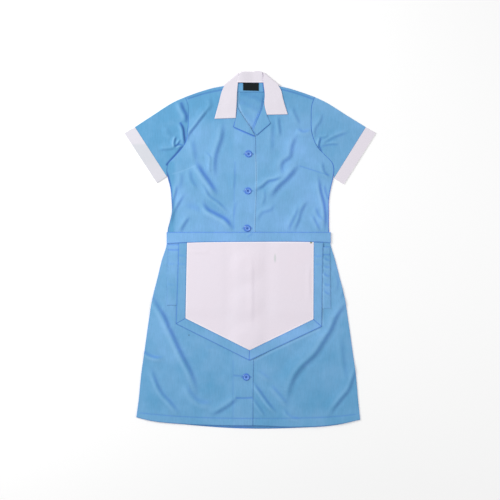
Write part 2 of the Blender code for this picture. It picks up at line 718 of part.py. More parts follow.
def make_apron():
    """The white panel with its pointed hem, and four border strips that meet in mitres."""
    columns, rows = 18, 12
    half = columns // 2
    top = straight([APRON_LEFT[0], APRON_RIGHT[0]], columns)
    top[:, 1] = band_low(top[:, 0]) - GAP
    left = straight([top[0], APRON_LEFT[-1]], rows)
    right = straight([top[-1], APRON_RIGHT[-1]], rows)
    hem_left = straight([APRON_LEFT[-1], APRON_POINT], half)
    hem_right = straight([APRON_POINT, APRON_RIGHT[-1]], half)
    hem = np.concatenate([hem_left, hem_right[1:]])
    wall("apron_panel", patch(top, hem, left, right), apron_under, CLOTH, "white_poplin")

    corners = [Point(x, band_low(x) - GAP) for x in (BORDER_OUT_LEFT[0].x, BORDER_OUT_RIGHT[0].x)]
    inside = [tuple(top[0]), APRON_LEFT[1], APRON_POINT, APRON_RIGHT[1], tuple(top[-1])]
    outside = [corners[0], BORDER_OUT_LEFT[1], BORDER_POINT, BORDER_OUT_RIGHT[1], corners[1]]
    strips = (("left", rows), ("lower_left", half), ("lower_right", half), ("right", rows))
    for at, (side, steps) in enumerate(strips):
        inner = shifted(straight(inside[at:at + 2], steps), -GAP)
        outer = straight(outside[at:at + 2], steps)
        run = (outer[-1] - outer[0]) / np.linalg.norm(outer[-1] - outer[0])
        if at > 0:
            inner[0] += run * 2 * SEAM
            outer[0] += run * 2 * SEAM
        if at < len(strips) - 1:
            inner[-1] -= run * 2 * SEAM
            outer[-1] -= run * 2 * SEAM
        ends = [straight([outer[k], inner[k]], 2) for k in (0, -1)]
        wall(f"apron_border_{side}", patch(*ends, outer, inner), apron_under, CLOTH, "blue_poplin")


def button_profile(plain):
    """Half a button's section, from the middle of its back to the middle of its face."""
    reach = BUTTON_ACROSS / 2
    shoulder = BUTTON_THICK - BUTTON_BEVEL
    side = [(0.0, 0.0), (reach, 0.0), (reach, shoulder), (reach - BUTTON_BEVEL, BUTTON_THICK)]
    if plain:
        return side + [(0.0, BUTTON_THICK)]
    rim = reach - BUTTON_RIM
    floor = BUTTON_THICK - BUTTON_DISH
    return side + [(rim, BUTTON_THICK), (rim - BUTTON_DISH, floor), (0.0, floor)]


def make_buttons():
    """A dished button where it shows, and a plain one behind the apron."""
    around = np.linspace(0.0, 2 * math.pi, BUTTON_SIDES)
    rim = BUTTON_ACROSS / 2 * np.stack([np.cos(around), np.sin(around)])
    for number, spot in enumerate(BUTTONS, start=1):
        below = left_bodice_under if spot.y > WAIST_SEAM_Y else left_skirt_under
        seat = float(below(spot.x + rim[0], spot.y + rim[1]).max()) + CLOTH + GAP
        mesh = bmesh.new()
        line = [mesh.verts.new((r * MM, 0.0, z * MM)) for r, z in button_profile(spot in HIDDEN_BUTTONS)]
        edges = [mesh.edges.new(pair) for pair in zip(line, line[1:])]
        bmesh.ops.spin(
            mesh, geom=line + edges, cent=(0, 0, 0), axis=(0, 0, 1), angle=2 * math.pi,
            steps=BUTTON_SIDES, use_merge=True,
        )
        bmesh.ops.remove_doubles(mesh, verts=mesh.verts, dist=WELD)
        bmesh.ops.recalc_face_normals(mesh, faces=mesh.faces)
        button = add_object(f"button_{number}", mesh, "blue_button")
        button.location = (spot.x * MM, spot.y * MM, seat * MM)


def main():
    clear_scene()
    make_bodice()
    make_skirt()
    make_sleeve("left", ARMHOLE_LEFT, SLEEVE_TOP_LEFT, SLEEVE_HEM_LEFT, CUFF_HEM_LEFT, 1)
    make_sleeve("right", ARMHOLE_RIGHT, SLEEVE_TOP_RIGHT, SLEEVE_HEM_RIGHT, CUFF_HEM_RIGHT, -1)
    make_collar()
    make_neck()
    make_pocket("left", POCKET_LEFT, 0, POCKET_SIDE_LEFT)
    make_pocket("right", POCKET_RIGHT, -1, POCKET_SIDE_RIGHT)
    make_apron()
    make_waistband()
    make_buttons()


main()
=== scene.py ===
# %% [markdown]
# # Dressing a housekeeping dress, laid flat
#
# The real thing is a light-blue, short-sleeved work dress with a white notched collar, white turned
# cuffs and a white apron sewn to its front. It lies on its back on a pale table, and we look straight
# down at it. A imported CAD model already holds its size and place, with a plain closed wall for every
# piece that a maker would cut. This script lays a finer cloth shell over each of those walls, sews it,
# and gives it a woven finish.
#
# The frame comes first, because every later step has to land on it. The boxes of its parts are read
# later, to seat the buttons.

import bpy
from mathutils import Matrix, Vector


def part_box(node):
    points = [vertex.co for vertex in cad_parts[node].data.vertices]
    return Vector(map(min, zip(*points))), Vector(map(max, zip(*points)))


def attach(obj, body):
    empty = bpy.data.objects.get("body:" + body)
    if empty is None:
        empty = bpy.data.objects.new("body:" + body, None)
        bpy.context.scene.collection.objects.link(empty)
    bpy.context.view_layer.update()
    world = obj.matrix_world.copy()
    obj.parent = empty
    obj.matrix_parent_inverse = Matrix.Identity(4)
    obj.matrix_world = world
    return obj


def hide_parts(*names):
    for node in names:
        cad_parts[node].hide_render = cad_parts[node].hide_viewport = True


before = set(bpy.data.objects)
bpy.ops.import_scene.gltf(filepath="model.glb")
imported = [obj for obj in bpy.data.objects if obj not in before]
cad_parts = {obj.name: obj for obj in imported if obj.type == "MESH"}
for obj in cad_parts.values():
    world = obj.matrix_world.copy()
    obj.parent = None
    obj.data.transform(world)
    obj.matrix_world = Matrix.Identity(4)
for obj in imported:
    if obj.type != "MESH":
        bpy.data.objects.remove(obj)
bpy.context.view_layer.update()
print("CAD nodes:", len(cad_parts))

# %% Modules and units
import math
from collections import namedtuple

import bmesh
import bpy
import numpy as np

MM = 0.001
BODY = "root"

# %% [markdown]
# ## Camera, table and light
#
# The dress was photographed from straight above, so the camera looks down the Z axis, and Blender's
# camera does that when its rotation is zero. A long lens far away keeps the hem and the collar at one
# scale, as the flat photo does. A plain white table takes soft shadows. One large lamp stands to the
# left and shapes the folds, a weaker one on the right keeps their far sides open, and a pale sky fills
# the rest, which is how a small studio lights cloth.

# %% Camera above the dress
FRAME_ACROSS = 1.4
LENS = 85.0
SENSOR = 36.0

lens = bpy.data.cameras.new("camera")
lens.lens = LENS
lens.sensor_width = SENSOR
camera = bpy.data.objects.new("camera", lens)
camera.location = (0.0, 0.0, FRAME_ACROSS * LENS / SENSOR)
bpy.context.scene.collection.objects.link(camera)
bpy.context.scene.camera = camera
print("camera height (m):", round(camera.location.z, 3))

# %% Colour codes and the one node helper
FACTOR, COLOUR_A, COLOUR_B, COLOUR_OUT = 0, 6, 7, 2


def linear(code):
    """An sRGB hex colour as linear red, green and blue, with an alpha of 1."""
    parts = [int(code[k:k + 2], 16) / 255 for k in (0, 2, 4)]
    return (*[p / 12.92 if p <= 0.04045 else ((p + 0.055) / 1.055) ** 2.4 for p in parts], 1.0)


def add(tree, kind, inputs, **settings):
    """Adds a node, makes its settings, and fills its sockets with values or links."""
    node = tree.nodes.new(kind)
    for name, value in settings.items():
        setattr(node, name, value)
    for socket, value in inputs.items():
        if isinstance(value, bpy.types.NodeSocket):
            tree.links.new(value, node.inputs[socket])
        else:
            node.inputs[socket].default_value = value
    return node


def new_material(name, roughness):
    """A material with its Principled shader at hand."""
    material = bpy.data.materials.new(name)
    material.use_nodes = True
    shader = material.node_tree.nodes["Principled BSDF"]
    shader.inputs["Roughness"].default_value = roughness
    return material, material.node_tree, shader


# %% Table top
TABLE_HALF = 3.0
TABLE_WHITE = "FBFBFB"
TABLE_GLOW = 0.09

table_white, tree, shader = new_material("matt_white_table", 0.9)
shader.inputs["Base Color"].default_value = linear(TABLE_WHITE)
shader.inputs["Specular IOR Level"].default_value = 0.1
shader.inputs["Emission Color"].default_value = linear(TABLE_WHITE)
shader.inputs["Emission Strength"].default_value = TABLE_GLOW

top = bmesh.new()
corners = [(-1, -1), (1, -1), (1, 1), (-1, 1)]
top.faces.new([top.verts.new((x * TABLE_HALF, y * TABLE_HALF, 0.0)) for x, y in corners])
table_mesh = bpy.data.meshes.new("table_top")
top.to_mesh(table_mesh)
top.free()
table_mesh.materials.append(table_white)
table_top = bpy.data.objects.new("table_top", table_mesh)
bpy.context.scene.collection.objects.link(table_top)
print("table top (m):", 2 * TABLE_HALF)

# %% Lamps and sky
Lamp = namedtuple("Lamp", "name x y z size watts")
LAMPS = [
    Lamp("key_left", -1.8, 1.0, 1.5, 1.3, 44.0),
    Lamp("fill_right", 2.0, -0.2, 1.9, 1.6, 14.0),
]
SKY_STRENGTH = 0.50

for lamp in LAMPS:
    light = bpy.data.lights.new(lamp.name, "AREA")
    light.size = lamp.size
    light.energy = lamp.watts
    stand = bpy.data.objects.new(lamp.name, light)
    stand.location = (lamp.x, lamp.y, lamp.z)
    stand.rotation_mode = "QUATERNION"
    stand.rotation_quaternion = (-stand.location).to_track_quat("-Z", "Y")
    bpy.context.scene.collection.objects.link(stand)

world = bpy.data.worlds.new("studio")
world.use_nodes = True
world.node_tree.nodes["Background"].inputs["Color"].default_value = (1.0, 1.0, 1.0, 1.0)
world.node_tree.nodes["Background"].inputs["Strength"].default_value = SKY_STRENGTH
bpy.context.scene.world = world
bpy.context.scene.view_settings.view_transform = "Standard"
print("lamps:", len(LAMPS))

# %% [markdown]
# ## Woven finishes
#
# The blue cloth is poplin: a tight plain weave of fine cotton and polyester yarn, dyed in one bath. It
# has no gloss, only a faint sheen from fibre ends, and its blue drifts a little between cool and violet
# over a hand's width. A fold looks deeper in colour than open cloth, because light that bounces
# between two blue walls loses more red each time. A renderer with few bounces shows little of that, so
# each mesh carries a number at every point, `fold_shade`, that says how deep in a fold, seam or shadow
# it lies, and the material mixes in a deeper blue there as painted shade. Below 0 the same number mixes
# in a paler blue, a painted highlight on fold crests and lit edges. A second number, `tone`, makes
# doubled cloth lighter, and it also paints shade, cooler and darker, on the low skirt and under the neck.
#
# Real poplin has a thread about every 0.25 mm, which is a tenth of a pixel in this picture. The weave
# is drawn four times as coarse, so that it shows when one looks close.

# %% Sizes of the weave
THREAD_MM = 0.25
COARSER = 4.0
WAVE_PERIOD = math.pi / 10
DRIFT_MM = 90.0
CRUMPLE_MM = 16.0
WEAVE_DEEP = 0.05
SLUB_MM = 7.0
SLUB_STRETCH = 14.0

weave_scale = WAVE_PERIOD / (THREAD_MM * COARSER * MM)
print("weave drawn every", THREAD_MM * COARSER, "mm")


def woven_height(tree, place):
    """The height of a plain weave: warp and weft waves multiplied, from 0 to 1."""
    threads = []
    for axis in ("X", "Y"):
        inputs = {"Vector": place, "Scale": weave_scale}
        threads.append(add(tree, "ShaderNodeTexWave", inputs, bands_direction=axis).outputs["Fac"])
    return add(tree, "ShaderNodeMath", {0: threads[0], 1: threads[1]}, operation="MULTIPLY").outputs[0]


def cloth_normal(tree, place, weave_depth_mm, crumple_depth_mm):
    """Bumps for the weave and for the soft crumple that pressing leaves."""
    crumple = add(tree, "ShaderNodeTexNoise", {"Vector": place, "Scale": 1000 / CRUMPLE_MM, "Detail": 3.0})
    soft = add(tree, "ShaderNodeBump", {
        "Height": crumple.outputs["Fac"], "Distance": crumple_depth_mm * MM, "Strength": 1.0,
    })
    fine = add(tree, "ShaderNodeBump", {
        "Height": woven_height(tree, place), "Distance": weave_depth_mm * MM, "Strength": 1.0,
        "Normal": soft.outputs["Normal"],
    })
    return fine.outputs["Normal"]


def slubs(tree, place):
    """Yarn that runs thick and thin: noise drawn out along the warp."""
    stretch = (1.0, 1.0 / SLUB_STRETCH, 1.0)
    drawn = add(tree, "ShaderNodeMapping", {"Vector": place, "Scale": stretch})
    noise = {"Vector": drawn.outputs["Vector"], "Scale": 1000 / SLUB_MM * 4, "Detail": 2.0}
    return add(tree, "ShaderNodeTexNoise", noise).outputs["Fac"]


def spot(tree, place, x, y, radius, stretch=1.0):
    """1 at the middle of a small mark, and 0 past its soft edge. Stretch draws it out along Y."""
    flat = add(tree, "ShaderNodeVectorMath", {0: place, 1: (1.0, 1.0 / stretch, 0.0)}, operation="MULTIPLY")
    centre = (x * MM, y * MM / stretch, 0.0)
    away = add(tree, "ShaderNodeVectorMath", {0: flat.outputs[0], 1: centre}, operation="DISTANCE")
    fade = {"Value": away.outputs["Value"], 1: radius * MM * 0.4, 2: radius * MM, 3: 1.0, 4: 0.0}
    return add(tree, "ShaderNodeMapRange", fade).outputs["Result"]


# %% [markdown]
# ### Blue poplin
#
# Three colours cover the cloth: cool on the low skirt, middle blue on the bodice, and a lighter violet
# blue where it is doubled. A ramp over `tone` picks between them, with slow noise to shift it. The
# painted shade in a fold on the cool cloth is a grey blue and on the light cloth a violet blue, and a
# `fold_shade` over 1 goes on to navy, painted shade for tight seams, tight folds and cast shadows. A
# `fold_shade` below 0 mixes in a pale blue, a painted highlight on fold crests. Cloth needs a high
# roughness and a little sheen. One dark speck sits on the left of the skirt.

# %% Blue poplin material
BLUE_COOL = "60A1CD"
BLUE_MIDDLE = "74ACD8"
BLUE_VIOLET = "82B6EA"
# Painted shade for folds, seams and shadows, a navy painted shadow past 1, and a pale painted highlight:
FOLD_SHADE_COOL = "4A82BC"
FOLD_SHADE_VIOLET = "4A80F2"
NAVY_PAINTED_SHADOW = "2A4898"
BLUE_PAINTED_HIGHLIGHT = "9CCDF6"
SPECK_BROWN = "3A4A60"
BLUE_CRUMPLE = 0.45
Mark = namedtuple("Mark", "x y radius")
SKIRT_SPECK = Mark(-170.8, -238.0, 2.0)


def make_blue_poplin():
    material, tree, shader = new_material("blue_poplin_woven", 0.82)
    place = add(tree, "ShaderNodeTexCoord", {}).outputs["Object"]
    tone = add(tree, "ShaderNodeAttribute", {}, attribute_name="tone").outputs["Fac"]
    drift = add(tree, "ShaderNodeTexNoise", {
        "Vector": place, "Scale": 1000 / DRIFT_MM, "Detail": 4.0, "Roughness": 0.62,
    })
    shift = add(tree, "ShaderNodeMapRange", {"Value": drift.outputs["Fac"], 1: 0.3, 2: 0.7, 3: 0.2, 4: 0.8})
    level = add(tree, "ShaderNodeMath", {
        0: tone, 1: 0.5, 2: shift.outputs["Result"],
    }, operation="MULTIPLY_ADD")
    ramp = add(tree, "ShaderNodeValToRGB", {"Fac": level.outputs[0]})
    stops = ramp.color_ramp.elements
    stops[0].color, stops[1].color = linear(BLUE_COOL), linear(BLUE_VIOLET)
    stops.new(0.5).color = linear(BLUE_MIDDLE)

    yarn = add(tree, "ShaderNodeMapRange", {"Value": slubs(tree, place), 1: 0.3, 2: 0.7, 3: 0.95, 4: 1.05})
    body = add(tree, "ShaderNodeVectorMath", {
        0: ramp.outputs["Color"], 3: yarn.outputs["Result"],
    }, operation="SCALE")
    fold = add(tree, "ShaderNodeAttribute", {}, attribute_name="fold_shade").outputs["Fac"]
    # Painted light: below 0, fold_shade mixes in a pale blue, a painted highlight on fold crests and lit
    # edges.
    crest = add(tree, "ShaderNodeMath", {0: fold, 1: -1.0}, operation="MULTIPLY").outputs[0]
    # Past 1, fold_shade goes on to navy, painted shade in tight seams, tight folds and cast shadows.
    past = add(tree, "ShaderNodeMath", {0: fold, 1: -1.0}, operation="ADD").outputs[0]
    # The painted shade of a fold: grey blue on cool cloth, violet blue on light cloth.
    deep = add(tree, "ShaderNodeMix", {
        FACTOR: level.outputs[0], COLOUR_A: linear(FOLD_SHADE_COOL), COLOUR_B: linear(FOLD_SHADE_VIOLET),
    }, data_type="RGBA")
    colour = body.outputs[0]
    layers = (
        (crest, linear(BLUE_PAINTED_HIGHLIGHT)),
        (fold, deep.outputs[COLOUR_OUT]),
        (past, linear(NAVY_PAINTED_SHADOW)),
        (spot(tree, place, *SKIRT_SPECK), linear(SPECK_BROWN)),
    )
    for share, over in layers:
        mix = add(tree, "ShaderNodeMix", {
            FACTOR: share, COLOUR_A: colour, COLOUR_B: over,
        }, data_type="RGBA")
        colour = mix.outputs[COLOUR_OUT]
    tree.links.new(colour, shader.inputs["Base Color"])
    tree.links.new(cloth_normal(tree, place, WEAVE_DEEP, BLUE_CRUMPLE), shader.inputs["Normal"])
    shader.inputs["Specular IOR Level"].default_value = 0.25
    shader.inputs["Sheen Weight"].default_value = 0.12
    shader.inputs["Sheen Roughness"].default_value = 0.5
    return material


blue_poplin = make_blue_poplin()

# %% [markdown]
# ### White poplin
#
# The collar, cuffs and apron are the same weave in white. The white has a faint lilac cast, and its
# turned edges are brighter, where the cloth is four layers thick and nothing blue shows through. A
# `tone` above 0 brightens it, and one below 0 greys it, as on the lower part of the left cuff. A
# `fold_shade` above 0 mixes in a lilac grey, painted shade along the edges of the collar and stand and
# in the apron's puckers. The apron carries a small grey mark, drawn out up and down, and a greenish
# fleck at its corner.

# %% White poplin material
WHITE_BODY = "EAE3EE"
WHITE_WARM = "ECE2EC"
WHITE_EDGE = "FCF8FD"
WHITE_FOLD_SHADE = "C9BFD4"
WHITE_GREY = "D3D5DC"
MARK_GREY = "D3D6D8"
FLECK_GREEN = "8A8F6A"
WHITE_CRUMPLE = 0.3
APRON_GREY_MARK = Mark(70.0, -23.0, 4.0)
MARK_STRETCH = 4.0
APRON_FLECK = Mark(170.8, 21.0, 4.0)


def make_white_poplin():
    material, tree, shader = new_material("white_poplin_woven", 0.85)
    place = add(tree, "ShaderNodeTexCoord", {}).outputs["Object"]
    drift = add(tree, "ShaderNodeTexNoise", {"Vector": place, "Scale": 1000 / DRIFT_MM, "Detail": 2.0})
    body = add(tree, "ShaderNodeMix", {
        FACTOR: drift.outputs["Fac"], COLOUR_A: linear(WHITE_BODY), COLOUR_B: linear(WHITE_WARM),
    }, data_type="RGBA")
    tone = add(tree, "ShaderNodeAttribute", {}, attribute_name="tone").outputs["Fac"]
    fold = add(tree, "ShaderNodeAttribute", {}, attribute_name="fold_shade").outputs["Fac"]
    colour = body.outputs[COLOUR_OUT]
    below = add(tree, "ShaderNodeMath", {0: tone, 1: -1.0}, operation="MULTIPLY").outputs[0]
    layers = (
        (below, WHITE_GREY),
        (tone, WHITE_EDGE),
        # fold_shade paints shade in lilac grey along the collar's and stand's edges and in the apron's
        # puckers.
        (fold, WHITE_FOLD_SHADE),
        (spot(tree, place, *APRON_GREY_MARK, MARK_STRETCH), MARK_GREY),
        (spot(tree, place, *APRON_FLECK), FLECK_GREEN),
    )
    for share, code in layers:
        mix = add(tree, "ShaderNodeMix", {
            FACTOR: share, COLOUR_A: colour, COLOUR_B: linear(code),
        }, data_type="RGBA")
        colour = mix.outputs[COLOUR_OUT]
    tree.links.new(colour, shader.inputs["Base Color"])
    tree.links.new(cloth_normal(tree, place, WEAVE_DEEP, WHITE_CRUMPLE), shader.inputs["Normal"])
    shader.inputs["Specular IOR Level"].default_value = 0.25
    shader.inputs["Sheen Weight"].default_value = 0.1
    shader.inputs["Sheen Roughness"].default_value = 0.5
    return material


white_poplin = make_white_poplin()

# %% [markdown]
# ### Button resin, sewing thread and label satin
#
# Dress buttons are turned from polyester resin, which keeps a pearly swirl from pouring and is then
# tumbled to a gloss. That calls for a low roughness and a clear coat. Its colour goes by rings: deep in
# the middle, painted shade over the holes and their thread; pearl in the dish; and deep at the rim,
# painted shade round the button's edge. Thread is twisted polyester, so it is a shade deeper than its
# cloth, with ridges across. The label is black satin, woven so tightly that it has a dull gleam along
# one way of the weave, painted as grey bands in its colour.

# %% Button, thread and label materials
BUTTON_ACROSS = 18.0
BUTTON_THICK = 2.4
RESIN_MIDDLE_SHADE = "2450B0"
RESIN_PEARL = "6698E4"
RESIN_RIM_SHADE = "3C70DA"
# The deep middle and deep rim are painted shade over the holes and round the edge; pearl is the resin.
BUTTON_ZONES = ((0.20, RESIN_MIDDLE_SHADE), (0.42, RESIN_PEARL), (0.74, RESIN_PEARL), (0.86, RESIN_RIM_SHADE))
SWIRL_MM = 9.0
THREAD_BLUE = "4A80D8"
THREAD_WHITE = "F4F0F6"
TWIST_MM = 0.6
SATIN_BLACK = "040A0C"
SATIN_SHEEN_GREY = "121E21"


def make_button_resin():
    material, tree, shader = new_material("blue_polyester_resin", 0.28)
    place = add(tree, "ShaderNodeTexCoord", {}).outputs["Object"]
    flat = add(tree, "ShaderNodeVectorMath", {0: place, 1: (1.0, 1.0, 0.0)}, operation="MULTIPLY")
    away = add(tree, "ShaderNodeVectorMath", {0: flat.outputs[0]}, operation="LENGTH")
    swirl = add(tree, "ShaderNodeTexNoise", {
        "Vector": place, "Scale": 1000 / SWIRL_MM, "Detail": 3.0, "Distortion": 1.6,
    })
    wander = add(tree, "ShaderNodeMapRange", {"Value": swirl.outputs["Fac"], 3: -0.1, 4: 0.1})
    share = add(tree, "ShaderNodeMath", {
        0: away.outputs["Value"], 1: 2 / (BUTTON_ACROSS * MM), 2: wander.outputs["Result"],
    }, operation="MULTIPLY_ADD")
    ramp = add(tree, "ShaderNodeValToRGB", {"Fac": share.outputs[0]})
    stops = ramp.color_ramp.elements
    stops[0].position, stops[0].color = BUTTON_ZONES[0][0], linear(BUTTON_ZONES[0][1])
    stops[1].position, stops[1].color = BUTTON_ZONES[-1][0], linear(BUTTON_ZONES[-1][1])
    for position, code in BUTTON_ZONES[1:-1]:
        stops.new(position).color = linear(code)
    tree.links.new(ramp.outputs["Color"], shader.inputs["Base Color"])
    shader.inputs["Coat Weight"].default_value = 0.3
    shader.inputs["Coat Roughness"].default_value = 0.15
    return material


def make_thread(name, code):
    material, tree, shader = new_material(name, 0.55)
    place = add(tree, "ShaderNodeTexCoord", {}).outputs["Object"]
    twist = add(tree, "ShaderNodeTexWave", {
        "Vector": place, "Scale": WAVE_PERIOD / (TWIST_MM * MM),
    }, bands_direction="DIAGONAL")
    bump = add(tree, "ShaderNodeBump", {
        "Height": twist.outputs["Fac"], "Distance": 0.08 * MM, "Strength": 1.0,
    })
    tree.links.new(bump.outputs["Normal"], shader.inputs["Normal"])
    shader.inputs["Base Color"].default_value = linear(code)
    shader.inputs["Sheen Weight"].default_value = 0.2
    return material


def make_label_satin():
    material, tree, shader = new_material("black_label_satin", 0.6)
    place = add(tree, "ShaderNodeTexCoord", {}).outputs["Object"]
    weft = add(tree, "ShaderNodeTexWave", {"Vector": place, "Scale": weave_scale}, bands_direction="Y")
    # The grey bands across the weft are painted sheen.
    colour = add(tree, "ShaderNodeMix", {
        FACTOR: weft.outputs["Fac"], COLOUR_A: linear(SATIN_BLACK), COLOUR_B: linear(SATIN_SHEEN_GREY),
    }, data_type="RGBA")
    bump = add(tree, "ShaderNodeBump", {
        "Height": weft.outputs["Fac"], "Distance": 0.1 * MM, "Strength": 1.0,
    })
    tree.links.new(colour.outputs[COLOUR_OUT], shader.inputs["Base Color"])
    tree.links.new(bump.outputs["Normal"], shader.inputs["Normal"])
    shader.inputs["Specular IOR Level"].default_value = 0.2
    return material


button_resin = make_button_resin()
thread_blue = make_thread("blue_polyester_thread", THREAD_BLUE)
thread_white = make_thread("white_polyester_thread", THREAD_WHITE)
label_satin = make_label_satin()
print("materials:", len(bpy.data.materials))

# %% [markdown]
# ## Lines and patches
#
# Each panel of a dress is drawn on paper as an outline and then cut. Here an outline is a short list of
# points with a smooth or a broken line through them, and a panel is a grid of points stretched between
# four such lines. That is called a transfinite patch. It keeps the grid lines parallel to the edges,
# so a seam, a hem or a row of stitches can follow them.

# %% Lines through points
MESH_STEP = 2.5


def length_of(points):
    return float(np.linalg.norm(np.diff(np.array(points, float), axis=0), axis=1).sum())


def distances(line):
    """How far along the line each of its points lies."""
    return np.concatenate([[0.0], np.cumsum(np.linalg.norm(np.diff(line, axis=0), axis=1))])


def steps_along(points):
    """How many mesh steps a line takes."""
    return max(2, round(length_of(points) / MESH_STEP))


def along(points, steps):
    """A smooth line through the points, cut into equal steps."""
    given = np.array(points, float)
    if len(given) == 2:
        return straight(points, steps)
    knots = distances(given)
    slopes = np.gradient(given, knots, axis=0)
    at = np.linspace(0.0, knots[-1], steps + 1)
    span = np.clip(np.searchsorted(knots, at, side="right") - 1, 0, len(knots) - 2)
    size = (knots[span + 1] - knots[span])[:, None]
    t = (at - knots[span])[:, None] / size
    return (
        (2 * t**3 - 3 * t**2 + 1) * given[span]
        + (t**3 - 2 * t**2 + t) * size * slopes[span]
        + (3 * t**2 - 2 * t**3) * given[span + 1]
        + (t**3 - t**2) * size * slopes[span + 1]
    )


def straight(points, steps):
    """The broken line through the points, cut into equal steps."""
    given = np.array(points, float)
    knots = distances(given)
    at = np.linspace(0.0, knots[-1], steps + 1)
    return np.stack([np.interp(at, knots, given[:, k]) for k in range(given.shape[1])], axis=1)


def shifted(line, distance):
    """A line moved sideways, to its own left where distance is above 0."""
    run = np.gradient(line, axis=0)
    run /= np.linalg.norm(run, axis=1)[:, None]
    return line + distance * np.stack([-run[:, 1], run[:, 0]], axis=1)


def patch(top, bottom, left, right):
    """Rows of points between four edges that meet at their corners: top and bottom run left to
    right, left and right run top to bottom."""
    u = np.linspace(0.0, 1.0, len(top))[None, :, None]
    v = np.linspace(0.0, 1.0, len(left))[:, None, None]
    corners = (
        (1 - u) * (1 - v) * top[0] + u * (1 - v) * top[-1] + (1 - u) * v * bottom[0] + u * v * bottom[-1]
    )
    return (1 - v) * top[None] + v * bottom[None] + (1 - u) * left[:, None] + u * right[:, None] - corners


def joining(first, second, steps):
    """The two straight lines that join the ends of one line to the ends of another."""
    return [straight([first[k], second[k]], steps) for k in (0, -1)]


def smooth(low, high, value):
    """0 below low, 1 above high, and an even S between them."""
    share = np.clip((value - low) / (high - low), 0.0, 1.0)
    return share * share * (3.0 - 2.0 * share)


def edge_at(line, y):
    """The x of a top-to-bottom line at each y."""
    table = np.array(line, float)[::-1]
    return np.interp(y, table[:, 1], table[:, 0])


# %% [markdown]
# ## The outlines
#
# These are the same outlines as the CAD model's, in millimetres, because a shell that replaces a wall
# has to have its form. Each runs from top to bottom, or from left to right. The ones that say how the
# layers stack come here, and each other one comes with its piece.

# %% Cloth sizes
CLOTH = 1.2
DOUBLE = 1.8
GAP = 0.3
SEAM = 0.02
LAYER = CLOTH + GAP
CLEAR = 0.25
print("cloth layer (mm):", LAYER)

# %% Outlines of the bodice
SHOULDER_LEFT = [(-181, 428), (-143, 441.6), (-109, 451.5), (-72.8, 458.3), (-53, 461.5)]
SHOULDER_RIGHT = [(55, 461.5), (78, 458.3), (110.5, 451.5), (143, 441.6), (181, 428)]
ARMHOLE_LEFT = [
    (-181, 428), (-173, 403), (-172, 375), (-174, 336), (-180, 302), (-192, 283), (-213, 259),
    (-230, 239.5), (-233.5, 222), (-230, 201),
]
ARMHOLE_RIGHT = [
    (181, 428), (173, 404), (171.5, 375), (173, 333), (180.5, 305), (193, 284), (213, 263), (232, 242),
    (235.6, 222.5), (232.4, 199),
]
SIDE_LEFT = [
    (-230, 201), (-223.5, 176), (-219.5, 140), (-218.5, 106), (-223, 84), (-229, 62), (-232, 36),
]
SIDE_RIGHT = [
    (232.4, 199), (225.5, 170), (220.8, 140), (220.4, 106), (220.4, 84), (220.6, 62), (222.4, 36),
]
EDGE_LEFT = [(15.1, 316), (15.4, 277), (17.9, 182), (15.4, 112), (12.9, 36)]
UNDER_EDGE = [(6, 338), (-6, 318), (-23, 296), (-24, 36), (-29, -491)]
print("bust, laid flat (mm):", ARMHOLE_RIGHT[-1][0] - ARMHOLE_LEFT[-1][0])

# %% Outlines of the skirt
SKIRT_SIDE_LEFT = [
    (-232, 36), (-233, 17), (-246.5, -28), (-257.5, -73), (-274, -140), (-283, -196), (-294, -274),
    (-305, -353), (-311.5, -420), (-318, -468),
]
SKIRT_SIDE_RIGHT = [
    (222.4, 36), (225, 17), (238, -28), (249.5, -73), (266, -140), (274.5, -196), (285.5, -274),
    (296.5, -353), (302.5, -420), (308, -475),
]
SKIRT_EDGE_LEFT = [(12.9, 36), (10.2, -280), (8.4, -414), (8.1, -491)]
print("hem, laid flat (mm):", SKIRT_SIDE_RIGHT[-1][0] - SKIRT_SIDE_LEFT[-1][0])

# %% Pockets, apron border and buttons
APRON_TOP_Y = 22.5
Box = namedtuple("Box", "left right low high")
POCKET_LEFT = Box(-233, -88, -155, 15)
POCKET_RIGHT = Box(88, 225.5, -163, 9)
BORDER_OUT_LEFT = [(-199.4, APRON_TOP_Y - 2), (-207, -206.5)]
BORDER_OUT_RIGHT = [(204, APRON_TOP_Y - 2), (200, -214)]
BORDER_POINT = (-2, -308.5)
Point = namedtuple("Point", "x y")
BUTTONS = [
    Point(-3.9, 268.6), Point(-5.6, 165.2), Point(-7.4, 60.6), Point(-8.2, -43.9),
    Point(-8.8, -147.5), Point(-9.6, -251.2), Point(-10.4, -355.0),
]
HIDDEN_BUTTONS = BUTTONS[3:6]
print("buttons:", len(BUTTONS), "of which hidden:", len(HIDDEN_BUTTONS))
